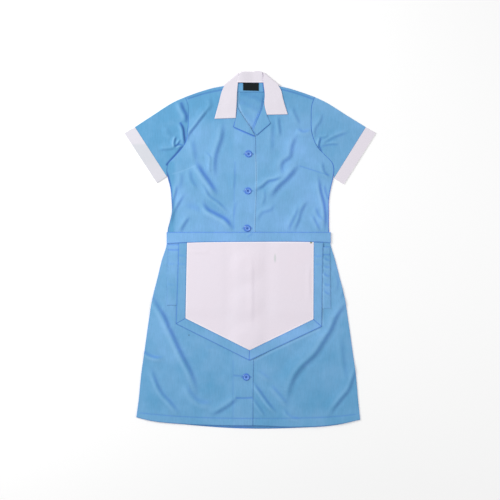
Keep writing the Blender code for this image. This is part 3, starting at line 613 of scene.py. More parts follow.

# %% [markdown]
# ## Folds
#
# A dress laid flat keeps soft folds where the cloth has more length than the space it lies in: from the
# bust darts, from the armholes, and down the flare of the skirt. Seen from above, each is a narrow dark
# side and a wide light one, because one wall stands steeper than the other. So a fold here is a line
# with a steep rise across it on the side that faces the lamp, a long gentle fall behind the crest, and
# a shallow dip at the foot of the steep wall. A row of the table gives the line that the wall follows,
# half the wall's width, the crest's height, how far the fall runs, and how strong the painted shade
# along its steep wall and the painted highlight on its crest are. The crest lies to the right of
# someone walking along the line. The back has shallow creases of its own, which show once the dress is
# turned over.
#
# Cloth simulation could make folds too, but not these very ones, so they are listed one by one.

# %% Folds of the bodice fronts
Fold = namedtuple("Fold", "line wide high run shade")
BODICE_FOLDS = [
    Fold([(-108, 404), (-150, 350), (-172, 318), (-177, 296)], 3.4, 3.4, 22, 0.75),
    Fold([(-161, 314), (-157, 285), (-149, 242)], 7.0, 1.7, 20, 0.40),
    Fold([(-156, 254), (-132, 216), (-115, 192), (-86, 148)], 6.8, 5.0, 30, 1.10),
    Fold([(-140, 192), (-125, 173), (-115, 154), (-89, 134), (-56, 102)], 4.0, 2.4, 16, 0.55),
    Fold([(-136, 144), (-119, 115), (-97, 102), (-70, 87), (-41, 50)], 6.2, 5.6, 30, 1.20),
    Fold([(-73, 368), (-80, 310), (-93, 272), (-98, 236), (-94, 194)], 6.2, 3.2, 26, 0.70),
    Fold([(-128, 278), (-110, 259), (-111, 235), (-110, 206)], 3.2, 1.8, 14, 0.45),
    Fold([(-43, 238), (-42, 205), (-45, 163)], 3.4, 0.8, 12, 0.28),
    Fold([(-36, 142), (-42, 118), (-46, 88)], 3.4, 0.8, 12, 0.28),
    Fold([(-168, 232), (-163, 197), (-144, 170)], 5.0, 1.7, 18, 0.45),
    Fold([(-203, 192), (-206, 168), (-213, 138), (-216, 102)], 3.2, 2.0, 12, 0.70),
    Fold([(-178, 164), (-200, 128), (-212, 104), (-221, 62)], 3.8, 2.4, 16, 0.55),
    Fold([(-190, 220), (-192, 192), (-199, 166)], 5.0, 1.2, 16, 0.35),
    Fold([(-167, 96), (-185, 69), (-196, 46)], 4.6, 2.4, 18, 0.60),
    Fold([(-186, 126), (-150, 118), (-126, 106)], 10.0, 0.8, 20, 0.30),
    Fold([(-115, 430), (-108, 406), (-120, 382)], 5.0, 1.4, 14, 0.30),
    Fold([(136, 328), (119, 293), (112, 261), (91, 242), (89, 226), (96, 200)], 5.8, 3.6, 24, 0.54),
    Fold([(98, 209), (72, 197), (52, 192), (35, 178), (8, 163)], 4.2, 3.4, 18, 0.82),
    Fold([(142, 245), (119, 216), (102, 197), (80, 177), (52, 138)], 6.6, 5.6, 30, 0.70),
    Fold([(40, 176), (42, 150), (34, 118)], 3.6, 1.2, 14, 0.35),
    Fold([(72, 136), (59, 113), (35, 104), (19, 76)], 4.6, 1.4, 16, 0.38),
    Fold([(190, 218), (198, 165), (207, 128), (211, 94), (208, 42)], 4.6, 4.2, 22, 0.95),
    Fold([(202, 250), (208, 220), (225, 203)], 3.6, 2.0, 14, 0.60),
    Fold([(207, 186), (213, 156), (221, 136)], 3.2, 1.6, 12, 0.65),
    Fold([(138, 130), (130, 103), (115, 73), (105, 48)], 4.6, 2.4, 18, 0.55),
    Fold([(166, 142), (145, 112), (138, 88), (121, 46)], 4.6, 3.2, 20, 0.50),
    Fold([(183, 124), (195, 93), (213, 80)], 5.0, 2.2, 16, 0.50),
    Fold([(172, 104), (185, 77), (199, 48)], 4.0, 1.8, 14, 0.50),
    Fold([(66, 374), (63, 320), (62, 266)], 6.0, 1.2, 18, 0.32),
    Fold([(79, 378), (82, 350), (86, 314)], 4.2, 2.0, 16, 0.50),
    Fold([(130, 342), (149, 331), (172, 338)], 4.4, 2.2, 16, 0.50),
    Fold([(117, 404), (130, 372), (142, 348)], 5.0, 2.0, 16, 0.35),
]
print("folds in the bodice fronts:", len(BODICE_FOLDS))

# %% Folds of the skirt fronts
SKIRT_FOLDS = [
    Fold([
        (-290, -94), (-268, -140), (-243, -180), (-221, -227), (-196, -282), (-162, -350), (-150, -388),
        (-147, -424),
    ], 6.8, 5.8, 38, 0.90),
    Fold([(-179, -366), (-164, -400), (-146, -420), (-96, -427)], 7.0, 2.4, 26, 0.50),
    Fold([(-312, -268), (-292, -288), (-268, -299), (-236, -299)], 4.4, 2.4, 14, 0.80),
    Fold([(-279, -318), (-264, -364), (-246, -400), (-223, -425), (-190, -466)], 5.2, 3.8, 28, 0.70),
    Fold([(-26, -406), (-56, -432), (-84, -450), (-114, -464)], 5.6, 2.8, 24, 0.60),
    Fold([(-128, -272), (-104, -270), (-82, -268)], 6.0, 0.8, 16, 0.25),
    Fold([
        (300, -116), (272, -150), (246, -180), (228, -220), (206, -257), (181, -294), (146, -327),
        (126, -354), (109, -402), (101, -452),
    ], 6.8, 6.0, 40, 0.62),
    Fold([(54, -372), (86, -407), (110, -437)], 5.2, 2.0, 18, 0.50),
    Fold([
        (308, -306), (292, -350), (276, -392), (253, -420), (233, -447), (218, -476),
    ], 5.2, 3.8, 28, 0.64),
    Fold([(6, -364), (31, -399), (51, -427), (80, -458)], 4.2, 3.6, 24, 0.90),
    Fold([(6, -410), (23, -434), (46, -468)], 3.8, 2.2, 18, 0.55),
    Fold([(94, -438), (106, -459), (146, -474)], 4.0, 1.6, 14, 0.45),
    Fold([(18, -332), (42, -350), (62, -364)], 5.0, 1.4, 16, 0.28),
    Fold([(254, -236), (263, -312), (273, -376)], 6.0, 1.4, 24, 0.28),
    Fold([(236, -60), (246, -92), (240, -120)], 3.2, 0.9, 12, 0.40),
    Fold([(254, -82), (262, -112), (252, -142)], 3.2, 0.9, 12, 0.35),
]
print("folds in the skirt fronts:", len(SKIRT_FOLDS))

# %% Folds of the back
BODICE_BACK_FOLDS = [
    Fold([(-186, 330), (-150, 290), (-132, 236), (-128, 170)], 6.0, 1.0, 26, 0.70),
    Fold([(-60, 300), (-72, 236), (-68, 160), (-78, 92)], 6.5, 0.9, 28, 0.55),
    Fold([(-198, 152), (-168, 112), (-126, 82)], 5.0, 1.0, 22, 0.60),
    Fold([(174, 338), (150, 286), (142, 232), (152, 168)], 6.0, 1.0, 26, 0.75),
    Fold([(66, 288), (58, 214), (72, 148), (64, 90)], 6.5, 0.8, 30, 0.50),
    Fold([(202, 140), (168, 104), (130, 66)], 5.0, 1.0, 22, 0.60),
    Fold([(-26, 192), (0, 150), (40, 126)], 5.0, 0.8, 20, 0.45),
]
SKIRT_BACK_FOLDS = [
    Fold([(-152, -30), (-176, -110), (-186, -210), (-220, -324)], 7.0, 1.0, 34, 0.70),
    Fold([(-40, -24), (-62, -120), (-58, -230), (-88, -356)], 7.5, 0.9, 38, 0.55),
    Fold([(58, -42), (76, -150), (70, -260), (98, -380)], 7.0, 1.0, 34, 0.60),
    Fold([(170, -28), (190, -120), (214, -214), (224, -336)], 7.0, 1.0, 34, 0.70),
    Fold([(-254, -296), (-216, -372), (-152, -424)], 5.5, 0.9, 26, 0.60),
    Fold([(244, -304), (206, -380), (142, -434)], 5.5, 0.9, 26, 0.65),
    Fold([(-18, -326), (12, -392), (18, -456)], 5.0, 0.8, 22, 0.50),
]
print("folds in the back:", len(BODICE_BACK_FOLDS) + len(SKIRT_BACK_FOLDS))

# %% Folds of the sleeves, pockets and apron
SLEEVE_FOLDS = [
    Fold([(-197, 422), (-188, 396), (-178, 378), (-179, 350)], 6.2, 3.4, 24, 0.80),
    Fold([(-198, 362), (-187, 340), (-184, 318), (-180, 290)], 4.2, 3.2, 16, 0.90),
    Fold([(-205, 320), (-211, 300), (-209, 284)], 2.8, 2.6, 12, 1.60),
    Fold([(-193, 310), (-204, 294), (-213, 287)], 2.6, 1.8, 10, 1.20),
    Fold([(-214, 288), (-199, 295), (-190, 293), (-186, 282)], 2.6, 1.8, 8, 1.70),
    Fold([(-204, 284), (-227, 281), (-258, 279)], 3.8, 1.8, 18, 0.40),
    Fold([(-234, 348), (-226, 330), (-212, 314)], 6.0, 1.4, 18, 0.20),
    Fold([(204, 388), (199, 362), (184, 338), (183, 308)], 4.6, 2.2, 18, 0.40),
    Fold([(199, 318), (194, 300), (190, 280)], 2.8, 2.6, 12, 1.50),
    Fold([(192, 293), (197, 283), (201, 268)], 2.8, 2.2, 10, 1.40),
    Fold([(282, 332), (236, 315), (194, 291)], 3.8, 2.0, 16, 0.55),
    Fold([(254, 295), (224, 295), (192, 288)], 3.2, 1.6, 12, 0.65),
    Fold([(224, 323), (206, 314), (188, 316)], 3.2, 1.4, 12, 0.40),
]
POCKET_FOLDS = [
    Fold([(207, -18), (214, -27), (226, -28)], 3.5, 1.3, 10, 0.60),
    Fold([(205, -41), (214, -48), (227, -46)], 3.5, 1.1, 10, 0.55),
    Fold([(204, -61), (213, -71), (226, -74)], 3.5, 1.3, 10, 0.60),
    Fold([(206, -89), (214, -98), (228, -97)], 3.5, 1.0, 10, 0.55),
    Fold([(205, -111), (214, -120), (226, -126)], 3.5, 1.2, 10, 0.50),
    Fold([(-231, -36), (-220, -40), (-208, -38)], 3.5, 0.8, 10, 0.30),
    Fold([(-232, -92), (-220, -98), (-210, -96)], 3.5, 0.8, 10, 0.30),
]
APRON_FOLDS = [
    Fold([(-206, -14), (-192, -16), (-178, -15)], 3.5, 1.1, 9, 0.45),
    Fold([(-206, -38), (-192, -40), (-178, -39)], 3.5, 1.1, 9, 0.40),
    Fold([(178, -17), (192, -18), (205, -16)], 3.5, 1.0, 9, 0.40),
    Fold([(178, -40), (192, -41), (204, -40)], 3.5, 1.0, 9, 0.30),
    Fold([(7, 2), (9, -110), (8, -230)], 5.0, 0.9, 18, 0.12),
    Fold([(-172, 4), (-140, 0), (-110, 3)], 4.0, 0.7, 12, 0.12),
    Fold([(170, -30), (168, -90), (170, -150)], 4.0, 0.7, 12, 0.12),
]
print("smaller folds:", len(SLEEVE_FOLDS) + len(POCKET_FOLDS) + len(APRON_FOLDS))

# %% How a fold rises
FOLD_STEPS = 40
FOLD_FADE = 0.30
FOLD_DIP = 0.24
DIP_AT = 1.4
CREST_AT = 1.7
# DARK_SIDE and LIGHT_SIDE: shares of painted shade on a fold's steep wall and painted highlight on its
# crest.
DARK_SIDE = 0.62
LIGHT_SIDE = 0.34


def near_line(line, x, y):
    """For each point: how far it lies to the right of the line, and how far along the line it is."""
    gap_x, gap_y = x[..., None] - line[:, 0], y[..., None] - line[:, 1]
    nearest = np.hypot(gap_x, gap_y).argmin(axis=-1)
    run = np.gradient(line, axis=0)
    run /= np.linalg.norm(run, axis=1)[:, None]
    pick = nearest[..., None]
    away_x = np.take_along_axis(gap_x, pick, -1)[..., 0]
    away_y = np.take_along_axis(gap_y, pick, -1)[..., 0]
    return away_x * run[nearest, 1] - away_y * run[nearest, 0], nearest / (len(line) - 1)


def beside(points, steps, reach, x, y):
    """Which points lie near the line, how far to its right, and how far along it."""
    line = along(points, steps)
    low, high = line.min(axis=0) - reach, line.max(axis=0) + reach
    close = (x > low[0]) & (x < high[0]) & (y > low[1]) & (y < high[1])
    return close, *near_line(line, x[close], y[close])


def faded(share, fade):
    """1 along a line, and down to 0 over a share of it at both ends."""
    return smooth(0.0, fade, share) * smooth(0.0, fade, 1.0 - share)


def folds_at(folds, x, y):
    """The height that the folds add at each point, and their painted shade and painted crest highlight."""
    height = np.zeros_like(x, dtype=float)
    shade = np.zeros_like(x, dtype=float)
    for fold in folds:
        reach = fold.wide + fold.run
        close, right, share = beside(fold.line, FOLD_STEPS, reach, x, y)
        ends = faded(share, FOLD_FADE)
        crest = smooth(-fold.wide, fold.wide, right) * (1.0 - smooth(fold.wide, reach, right))
        dip = FOLD_DIP * np.exp(-((right / fold.wide + DIP_AT) ** 2))
        height[close] += fold.high * (crest - dip) * ends
        dark = np.exp(-((right / fold.wide) ** 2))
        light = np.exp(-((right / fold.wide - CREST_AT) ** 2))
        shade[close] += fold.shade * (DARK_SIDE * dark - LIGHT_SIDE * light) * ends
    return height, shade


# %% [markdown]
# ## Sewn lines
#
# Some lines on a panel are seams that lie a little inside its outline: the shoulder seams, which sit in
# front of the shoulder, the bust darts, the edge of the facing that shows through the front, and the
# hem. Each presses a shallow groove into the cloth and carries painted shade along it, or painted light
# instead where its colour is below 0. A row gives the line, half the groove's width, its depth, and its
# colour. A few have no depth: they are painted light along a lapped edge and beside the apron, painted
# shade and light beside the lapels' rolls, and painted shade in the deep middle of a tight fold. The
# hem's line comes first, because the turned hem under it changes how the skirt lies.

# %% How a groove sinks
Groove = namedtuple("Groove", "line wide deep shade")
HEM_LINE = [
    (-315.6, -455), (-250, -461.5), (-150, -468), (8, -471), (110, -470.5), (220, -467), (305, -459),
]
GROOVE_STEPS = 120
GROOVE_ENDS = 0.03


def grooves_at(grooves, x, y):
    """The height, below 0, that the sewn lines add at each point, and their painted shade, which is painted
    light below 0.
    """
    height = np.zeros_like(x, dtype=float)
    shade = np.zeros_like(x, dtype=float)
    for groove in grooves:
        close, right, share = beside(groove.line, GROOVE_STEPS, 3 * groove.wide, x, y)
        across = np.exp(-((right / groove.wide) ** 2)) * faded(share, GROOVE_ENDS)
        height[close] -= groove.deep * across
        shade[close] += groove.shade * across
    return height, shade


print("line of the hem (mm):", round(length_of(HEM_LINE)))

# %% [markdown]
# ## How the layers stack
#
# Laid flat, a dress is a stack of thin layers: back, fronts, pockets, apron and waistband. Each layer's
# underside is a height over the table that is worked out from what lies below it, so no piece cuts
# through another and each edge stands a cloth's thickness proud. The lifts and ramps are those of the
# CAD walls.

# %% Ripple of worn cloth
RIPPLE_WAVES = 9
RIPPLE_MM = (34.0, 96.0)
RIPPLE_HIGH = 0.22
GOLDEN_TURN = math.pi * (3 - math.sqrt(5))


def ripple(x, y):
    """The slight unevenness of cloth that has been worn and pressed: nine long waves, all ways."""
    height = np.zeros_like(x, dtype=float)
    for k in range(RIPPLE_WAVES):
        turn = k * GOLDEN_TURN
        size = RIPPLE_MM[0] + (RIPPLE_MM[1] - RIPPLE_MM[0]) * k / (RIPPLE_WAVES - 1)
        height += np.sin((x * math.cos(turn) + y * math.sin(turn)) * 2 * math.pi / size + 7 * turn)
    return RIPPLE_HIGH * height / math.sqrt(RIPPLE_WAVES)


# %% How far from a pocket or the apron
def box_distance(box, x, y):
    outside_x = np.maximum(np.maximum(box.left - x, x - box.right), 0.0)
    outside_y = np.maximum(np.maximum(box.low - y, y - box.high), 0.0)
    return np.hypot(outside_x, outside_y)


def outside_corners(corners, x, y):
    """How far each point lies outside a convex outline, and below 0 inside it. The corners run
    anticlockwise."""
    sides = []
    for start, end in zip(corners, corners[1:] + corners[:1]):
        run = np.array(end) - np.array(start)
        run /= np.linalg.norm(run)
        sides.append(run[1] * (x - start[0]) - run[0] * (y - start[1]))
    return np.max(sides, axis=0)


def outside_apron(x, y):
    return outside_corners([*BORDER_OUT_LEFT, BORDER_POINT, *reversed(BORDER_OUT_RIGHT)], x, y)


def outside_pockets(x, y):
    return np.minimum(box_distance(POCKET_LEFT, x, y), box_distance(POCKET_RIGHT, x, y))


# %% Air and lifts
FALL_MIDDLE = 2.0
FALL_REACH = 84.0
FALL_LOW_Y = 436.0
FALL_RAMP = 62.0
CREASE_HIGH = 0.55
LOFT = 1.2
LOFT_RUN = 45.0
CALM_FROM = 4.0
CALM_TO = 26.0
HEM_STEP = 0.5
SHOULDER_CALM_Y = 452.0
OVERLAP_TOP_Y = 390.0
OVERLAP_FADE = 40.0
RAMP_FROM = -46.0
RAMP_TO = -7.0


def fall_share(x, y):
    """1 over the part of the collar that lies under the back, and 0 well away from it."""
    outside_x = np.maximum(np.abs(x - FALL_MIDDLE) - FALL_REACH, 0.0)
    outside_y = np.maximum(FALL_LOW_Y - y, 0.0)
    return 1.0 - smooth(0.0, FALL_RAMP, np.hypot(outside_x, outside_y))


def back_under(x, y):
    return (DOUBLE + GAP + CLEAR) * fall_share(x, y)


def creases(table, x, y, room):
    """Creases in the back, which lift it off the table where the air under the front leaves room."""
    return CREASE_HIGH * room * np.clip(folds_at(table, x, y)[0], 0.0, 1.0)


def loft(x, y, left, right):
    """Air under a front: none at its side seams."""
    inside = np.minimum(x - edge_at(left, y), edge_at(right, y) - x)
    return LOFT * smooth(0.0, LOFT_RUN, inside)


def calm_skirt(x, y):
    """0 where the apron and the pockets hold the skirt flat."""
    apron, pockets = outside_apron(x, y), outside_pockets(x, y)
    return smooth(CALM_FROM, CALM_TO, apron) * smooth(CALM_FROM, CALM_TO, pockets)


def hem_step(x, y):
    """The turned hem lies a little higher below its row of stitches."""
    return HEM_STEP * smooth(-1.5, 1.5, np.interp(x, *np.array(HEM_LINE).T) - y)


def bodice_loft(x, y):
    sides = loft(x, y, ARMHOLE_LEFT + SIDE_LEFT[1:], ARMHOLE_RIGHT + SIDE_RIGHT[1:])
    return sides * smooth(0.0, LOFT_RUN, SHOULDER_CALM_Y - y)


# %% Undersides of the fronts and the back
def bodice_back_under(x, y):
    return back_under(x, y) + creases(BODICE_BACK_FOLDS, x, y, bodice_loft(x, y) / LOFT)


def bodice_under(x, y):
    spare = 2 * CLEAR * fall_share(x, y)
    air = bodice_loft(x, y) * (1.0 + ripple(x, y)) + folds_at(BODICE_FOLDS, x, y)[0]
    return back_under(x, y) + LAYER + spare + np.maximum(air, 0.0)


def skirt_under(x, y):
    sides = loft(x, y, SKIRT_SIDE_LEFT, SKIRT_SIDE_RIGHT)
    calm = calm_skirt(x, y)
    air = sides * (1.0 + calm * ripple(x, y)) + calm * folds_at(SKIRT_FOLDS, x, y)[0]
    return LAYER + np.maximum(air, 0.0)


def overlap(x, y):
    """What the left front rises by to lie over the right front."""
    reach = smooth(RAMP_FROM, RAMP_TO, x - edge_at(UNDER_EDGE, y))
    return (LAYER + CLEAR) * reach * smooth(0.0, OVERLAP_FADE, OVERLAP_TOP_Y - y)


def over_placket(x, y):
    """What a piece that lies across both fronts rises by: up on the left, and down past the edge."""
    past = x - edge_at(EDGE_LEFT + SKIRT_EDGE_LEFT[1:], y)
    return overlap(x, y) * (1.0 - smooth(-RAMP_TO, -RAMP_FROM, past))


def left_bodice_under(x, y):
    return bodice_under(x, y) + overlap(x, y)


def left_skirt_under(x, y):
    return skirt_under(x, y) + overlap(x, y)


# %% Undersides of what lies on the fronts
POCKET_RAMP = (2.0, 46.0)
BUTTON_RAMP = (BUTTON_ACROSS * 0.8, 56.0)
PUCKERS_END_Y = (4.0, 10.0)


def pocket_under(x, y):
    return skirt_under(x, y) + LAYER + CLEAR + np.maximum(folds_at(POCKET_FOLDS, x, y)[0], 0.0)


def apron_under(x, y):
    height = skirt_under(x, y) + LAYER + CLEAR + over_placket(x, y)
    height += (LAYER + CLEAR) * (1.0 - smooth(*POCKET_RAMP, outside_pockets(x, y)))
    for place in HIDDEN_BUTTONS:
        away = np.hypot(x - place.x, y - place.y)
        height += (BUTTON_THICK + GAP) * (1.0 - smooth(*BUTTON_RAMP, away))
    return height + np.maximum(folds_at(APRON_FOLDS, x, y)[0], 0.0) * (1.0 - smooth(*PUCKERS_END_Y, y))


def band_under(x, y):
    return np.maximum(bodice_under(x, y), skirt_under(x, y)) + LAYER + CLEAR + over_placket(x, y)


# %% Undersides of sleeves, collar, facing and label
def sleeve_under(x, y):
    return LAYER + np.maximum(0.5 * ripple(x, y) + folds_at(SLEEVE_FOLDS, x, y)[0], 0.0)


def cuff_under(x, y):
    return np.full_like(x, LAYER)


def leaf_under(x, y):
    return bodice_under(x, y) + LAYER + CLEAR


def facing_under(x, y):
    return back_under(x, y) + LAYER


def label_under(x, y):
    return facing_under(x, y) + LAYER


def left_lapel_under(x, y):
    return left_bodice_under(x, y) + LAYER + CLEAR


def skirt_back_under(x, y):
    return creases(SKIRT_BACK_FOLDS, x, y, loft(x, y, SKIRT_SIDE_LEFT, SKIRT_SIDE_RIGHT) / LOFT)


# %% [markdown]
# ## Closed shells
#
# A cut edge of cloth is turned under, so it is round, not square. Each shell has a face and a back with
# the same grid, and its rim goes round in three short faces. Its two numbers, `fold_shade` and `tone`,
# are stored as point attributes, which a material reads by name. The first is raised along the borders
# too, where a seam draws the cloth in, as painted shade for the seam's dark line and the shadow at the
# cloth's edge, and it is lowered below 0 where an edge gets painted light.

# %% Mesh makers
RIM_INSET = 0.35
RIM_DROP = 0.3
SHARP_ANGLE = math.radians(60)
DEEPEST = 1.5
# Rims add painted shade along a panel's borders, and painted light where a value is below 0.
Rims = namedtuple("Rims", "top bottom left right")
NO_RIMS = Rims(0.0, 0.0, 0.0, 0.0)


def make_object(name, vertices, faces, material, numbers):
    """A smooth-shaded object from points in millimetres, with its point attributes."""
    mesh = bpy.data.meshes.new(name)
    mesh.from_pydata((np.array(vertices) * MM).tolist(), [], np.array(faces).tolist())
    closed = bmesh.new()
    closed.from_mesh(mesh)
    bmesh.ops.recalc_face_normals(closed, faces=closed.faces)
    closed.to_mesh(mesh)
    closed.free()
    for label, values in numbers.items():
        layer = mesh.attributes.new(label, "FLOAT", "POINT")
        layer.data.foreach_set("value", np.clip(values, -1.0, DEEPEST).astype(np.float32))
    mesh.materials.append(material)
    mesh.shade_smooth()
    mesh.set_sharp_from_angle(angle=SHARP_ANGLE)
    made = bpy.data.objects.new(name, mesh)
    bpy.context.scene.collection.objects.link(made)
    return made


def quads(number, ring=False):
    """The faces of a grid of point numbers, with the last column joined to the first on a ring."""
    if ring:
        number = np.concatenate([number, number[:, :1]], axis=1)
    corners = (number[:-1, :-1], number[1:, :-1], number[1:, 1:], number[:-1, 1:])
    return np.stack([c.ravel() for c in corners], axis=1)


def with_rims(shade, rims):
    """Painted shade with each rim's value added along its border, and painted light where it is below 0."""
    shade = shade.copy()
    shade[0] += rims.top
    shade[-1] += rims.bottom
    shade[:, 0] += rims.left
    shade[:, -1] += rims.right
    return shade


def closed_wall(name, face, back, material, shade, tone, rims=NO_RIMS):
    """A closed piece of cloth between two grids of points, with a rounded rim."""
    rows, columns = face.shape[:2]
    count = rows * columns
    number = np.arange(count).reshape(rows, columns)
    loop = np.concatenate([number[0, :-1], number[:-1, -1], number[-1, :0:-1], number[:0:-1, 0]])
    i, j = np.divmod(loop, columns)
    high = face[i, j] + (back[i, j] - face[i, j]) * RIM_DROP
    low = back[i, j] + (face[i, j] - back[i, j]) * RIM_DROP
    face, back = face.copy(), back.copy()
    for grid in (face, back):
        inward = grid[np.clip(i, 1, rows - 2), np.clip(j, 1, columns - 2)] - grid[i, j]
        grid[i, j] += inward / np.linalg.norm(inward, axis=1)[:, None] * RIM_INSET

    rim = np.stack([
        loop, 2 * count + np.arange(len(loop)), 2 * count + len(loop) + np.arange(len(loop)), loop + count,
    ])
    vertices = np.concatenate([face.reshape(-1, 3), back.reshape(-1, 3), high, low])
    faces = np.concatenate([quads(number), quads(number + count)[:, ::-1], quads(rim, ring=True)])
    numbers = {}
    for label, values in (("fold_shade", with_rims(shade, rims)), ("tone", tone)):
        border = values[i, j]
        numbers[label] = np.concatenate([values.ravel(), values.ravel(), border, border])
    return make_object(name, vertices, faces, material, numbers)


# %% [markdown]
# ## Placing a piece in the frame
#
# A finished shell rides on the frame's body and stands for its wall, and the size of its cut is printed:
# the flat outline of one layer, or the whole way round for a tube.


def lay(piece, node, grid, layers=1):
    """Rides and replaces a piece, and prints its cut, the outline of that flat grid."""
    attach(piece, BODY)
    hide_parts(node)
    ways = [(grid[:, -1] - grid[:, 0]).mean(axis=0), (grid[-1] - grid[0]).mean(axis=0)]
    main = max(ways, key=np.linalg.norm)
    main /= np.linalg.norm(main)
    points = grid.reshape(-1, 2)
    spread = [np.ptp(points @ axis) for axis in (main, np.array([-main[1], main[0]]))]
    cut = (spread[0] * layers * MM, spread[1] * MM)
    size = f"{cut[0] * 1000:.0f} x {cut[1] * 1000:.0f} mm"
    print(f"{piece.name}: cut {size}, faces {len(piece.data.polygons)}")
    return piece


def no_details(x, y):
    return np.zeros_like(x), np.zeros_like(x)


def panel(
    node, grid, under, details=no_details, tone=0.0, rims=NO_RIMS,
    finish=(blue_poplin, "blue_poplin"), thickness=CLOTH,
):
    """Makes the shell of one flat panel. Details is a function of x and y that gives what its folds
    and sewn lines add, and tone is a function or a number that says how its colour changes."""
    x, y = grid[..., 0], grid[..., 1]
    extra, shade = details(x, y)
    low = under(x, y)
    face, back = [np.stack([x, y, height], axis=-1) for height in (low + thickness + extra, low)]
    material, slot = finish
    tones = tone(x, y) if callable(tone) else np.full_like(x, tone)
    piece = closed_wall(node + "_cloth", face, back, material, shade, tones, rims)
    return lay(piece, node, grid)


# %% [markdown]
# ## Bodice
#
# The bodice is two fronts over one back. Each front runs from the shoulder to the waist seam, cut back
# at the armhole by half the seam gap. The left front laps over the right, and the strip beside its edge
# is doubled by the facing, so it is a lighter blue. The armhole seam and the waist seam are deep blue
# lines, painted shade along the panels' rims, and the lapped edge is pressed thin, with painted light
# along it. The inside of the back shows only in the neck opening.

# %% Sewn lines of the bodice
SHOULDER_SEAM_LEFT = [(-72, 449.4), (-123, 439), (-176, 423)]
SHOULDER_SEAM_RIGHT = [(83, 449.8), (131, 438), (178, 421.5)]
DART_LEFT = [(-219, 212), (-186, 222), (-152, 236.5)]
DART_RIGHT = [(223, 208), (180, 222), (138, 235.5)]
FACING_LINE_TOP = [(-42, 250), (-44, 170), (-45.5, 56)]
FRONT_EDGE_TOP = [(14.6, 318), (14.8, 296), (15.2, 270)]
FRONT_EDGE_LIT = [(17.2, 268), (17.8, 215), (18.2, 166)]
FRONT_EDGE_GLEAM = [(17.5, 248), (17.8, 215), (18.1, 182)]
FRONT_EDGE_LOW = [(16.6, 150), (14.4, 100), (12.2, 46)]
LAPEL_LINE_LEFT = [(-46.8, 343.4), (-20, 331.2), (13.8, 316.8)]
LAPEL_LINE_RIGHT = [(57.2, 353.4), (38, 337), (18.8, 320.6)]
SIDE_LINE_LEFT = [(-236, 238), (-235.4, 227), (-229, 207), (-222.4, 178), (-219.4, 150), (-217.2, 112)]
# Painted shade along the seams, the right dart, the facing's edge and the lapels' lines; painted light
# (below 0) on the left dart and the lapped front edge.
BODICE_GROOVES = [
    Groove(SHOULDER_SEAM_LEFT, 2.0, 0.4, 0.95), Groove(SHOULDER_SEAM_RIGHT, 1.8, 0.4, 0.85),
    Groove(DART_LEFT, 1.5, 0.3, -0.30), Groove(DART_RIGHT, 1.5, 0.4, 0.45),
    Groove(FACING_LINE_TOP, 2.2, 0.3, 0.22), Groove(FRONT_EDGE_TOP, 1.8, 0.2, 0.45),
    Groove(FRONT_EDGE_LIT, 2.4, 0.0, -0.35), Groove(FRONT_EDGE_GLEAM, 2.6, 0.0, -0.30),
    Groove(FRONT_EDGE_LOW, 2.0, 0.0, -0.30),
    Groove(LAPEL_LINE_LEFT, 1.8, 0.3, 0.85), Groove(LAPEL_LINE_RIGHT, 1.8, 0.3, 0.55),
    Groove(SIDE_LINE_LEFT, 2.2, 0.3, 1.55),
]
print("sewn lines in the bodice:", len(BODICE_GROOVES))

# %% Shade and tone of the bodice
EDGE_THIN = 0.6
EDGE_THIN_RUN = 9.0
BUTTON_SHADE = 0.50
BUTTON_SHADE_WIDE = 1.7
DOUBLED_FROM = -46.0
SHOULDER_LOW_Y = 318.0
BODICE_TONE = -0.06
DOUBLED_TONE = 0.26
LOW_TONE = 0.26
RIGHT_TONE = 0.34
SHOULDER_COOL = 0.75
SIDE_COOL = 1.2


def button_shadow_rings(x, y):
    """A painted shadow: the soft dark ring that a button throws on the cloth round it."""
    shade = np.zeros_like(x)
    for place in BUTTONS:
        away = np.hypot(x - place.x, y - place.y) - BUTTON_ACROSS / 2
        shade += BUTTON_SHADE * np.exp(-((away / BUTTON_SHADE_WIDE) ** 2))
    return shade


def bodice_details(x, y):
    shade = folds_at(BODICE_FOLDS, x, y)[1]
    groove, line = grooves_at(BODICE_GROOVES, x, y)
    return groove, shade + line + button_shadow_rings(x, y)


def left_bodice_details(x, y):
    """The lapped edge is pressed thin."""
    groove, shade = bodice_details(x, y)
    return groove - EDGE_THIN * smooth(-EDGE_THIN_RUN, 0.0, x - edge_at(EDGE_LEFT, y)), shade


def bodice_tone(x, y):
    """Cooler at the shoulders and by the left side seam, and lighter low down, on the right and where
    the facing doubles the front."""
    doubled = smooth(-2.0, 2.0, x - DOUBLED_FROM) * smooth(-2.0, 2.0, edge_at(EDGE_LEFT, y) + 1 - x)
    low = smooth(60.0, 240.0, 300.0 - y)
    shoulder = smooth(0.0, 90.0, y - SHOULDER_LOW_Y)
    right = smooth(20.0, 120.0, x)
    side = smooth(204.0, 220.0, -x) * smooth(-8.0, 8.0, 246.0 - y)
    lighter = DOUBLED_TONE * doubled + LOW_TONE * low + RIGHT_TONE * right
    return BODICE_TONE + lighter - SHOULDER_COOL * shoulder - SIDE_COOL * side


# %% Bodice fronts
NECK_LEFT = [(-53, 461.5), (-52, 434), (-34.2, 396.8), (5.6, 335), (15.1, 316)]
NECK_RIGHT = [(55, 461.5), (51, 438), (36.7, 418), (33.3, 397), (4.5, 336), (-23, 296)]
EDGE_RIGHT = [(-23, 296), (-23.5, 160), (-24, 36)]
WAIST_SEAM_Y = 36.0
NECK_SHARE_LEFT = 0.36
NECK_SHARE_RIGHT = 0.42
# Rim values: painted shade along the armholes and, deeper, the left side seam; the lapped front edge gets
# painted light.
ARM_RIM_LEFT = 1.00
SIDE_RIM_LEFT = 1.40
ARM_RIM_RIGHT = 1.40
armhole_steps = steps_along(ARMHOLE_LEFT)
side_steps = steps_along(SIDE_LEFT)
bodice_columns = 78


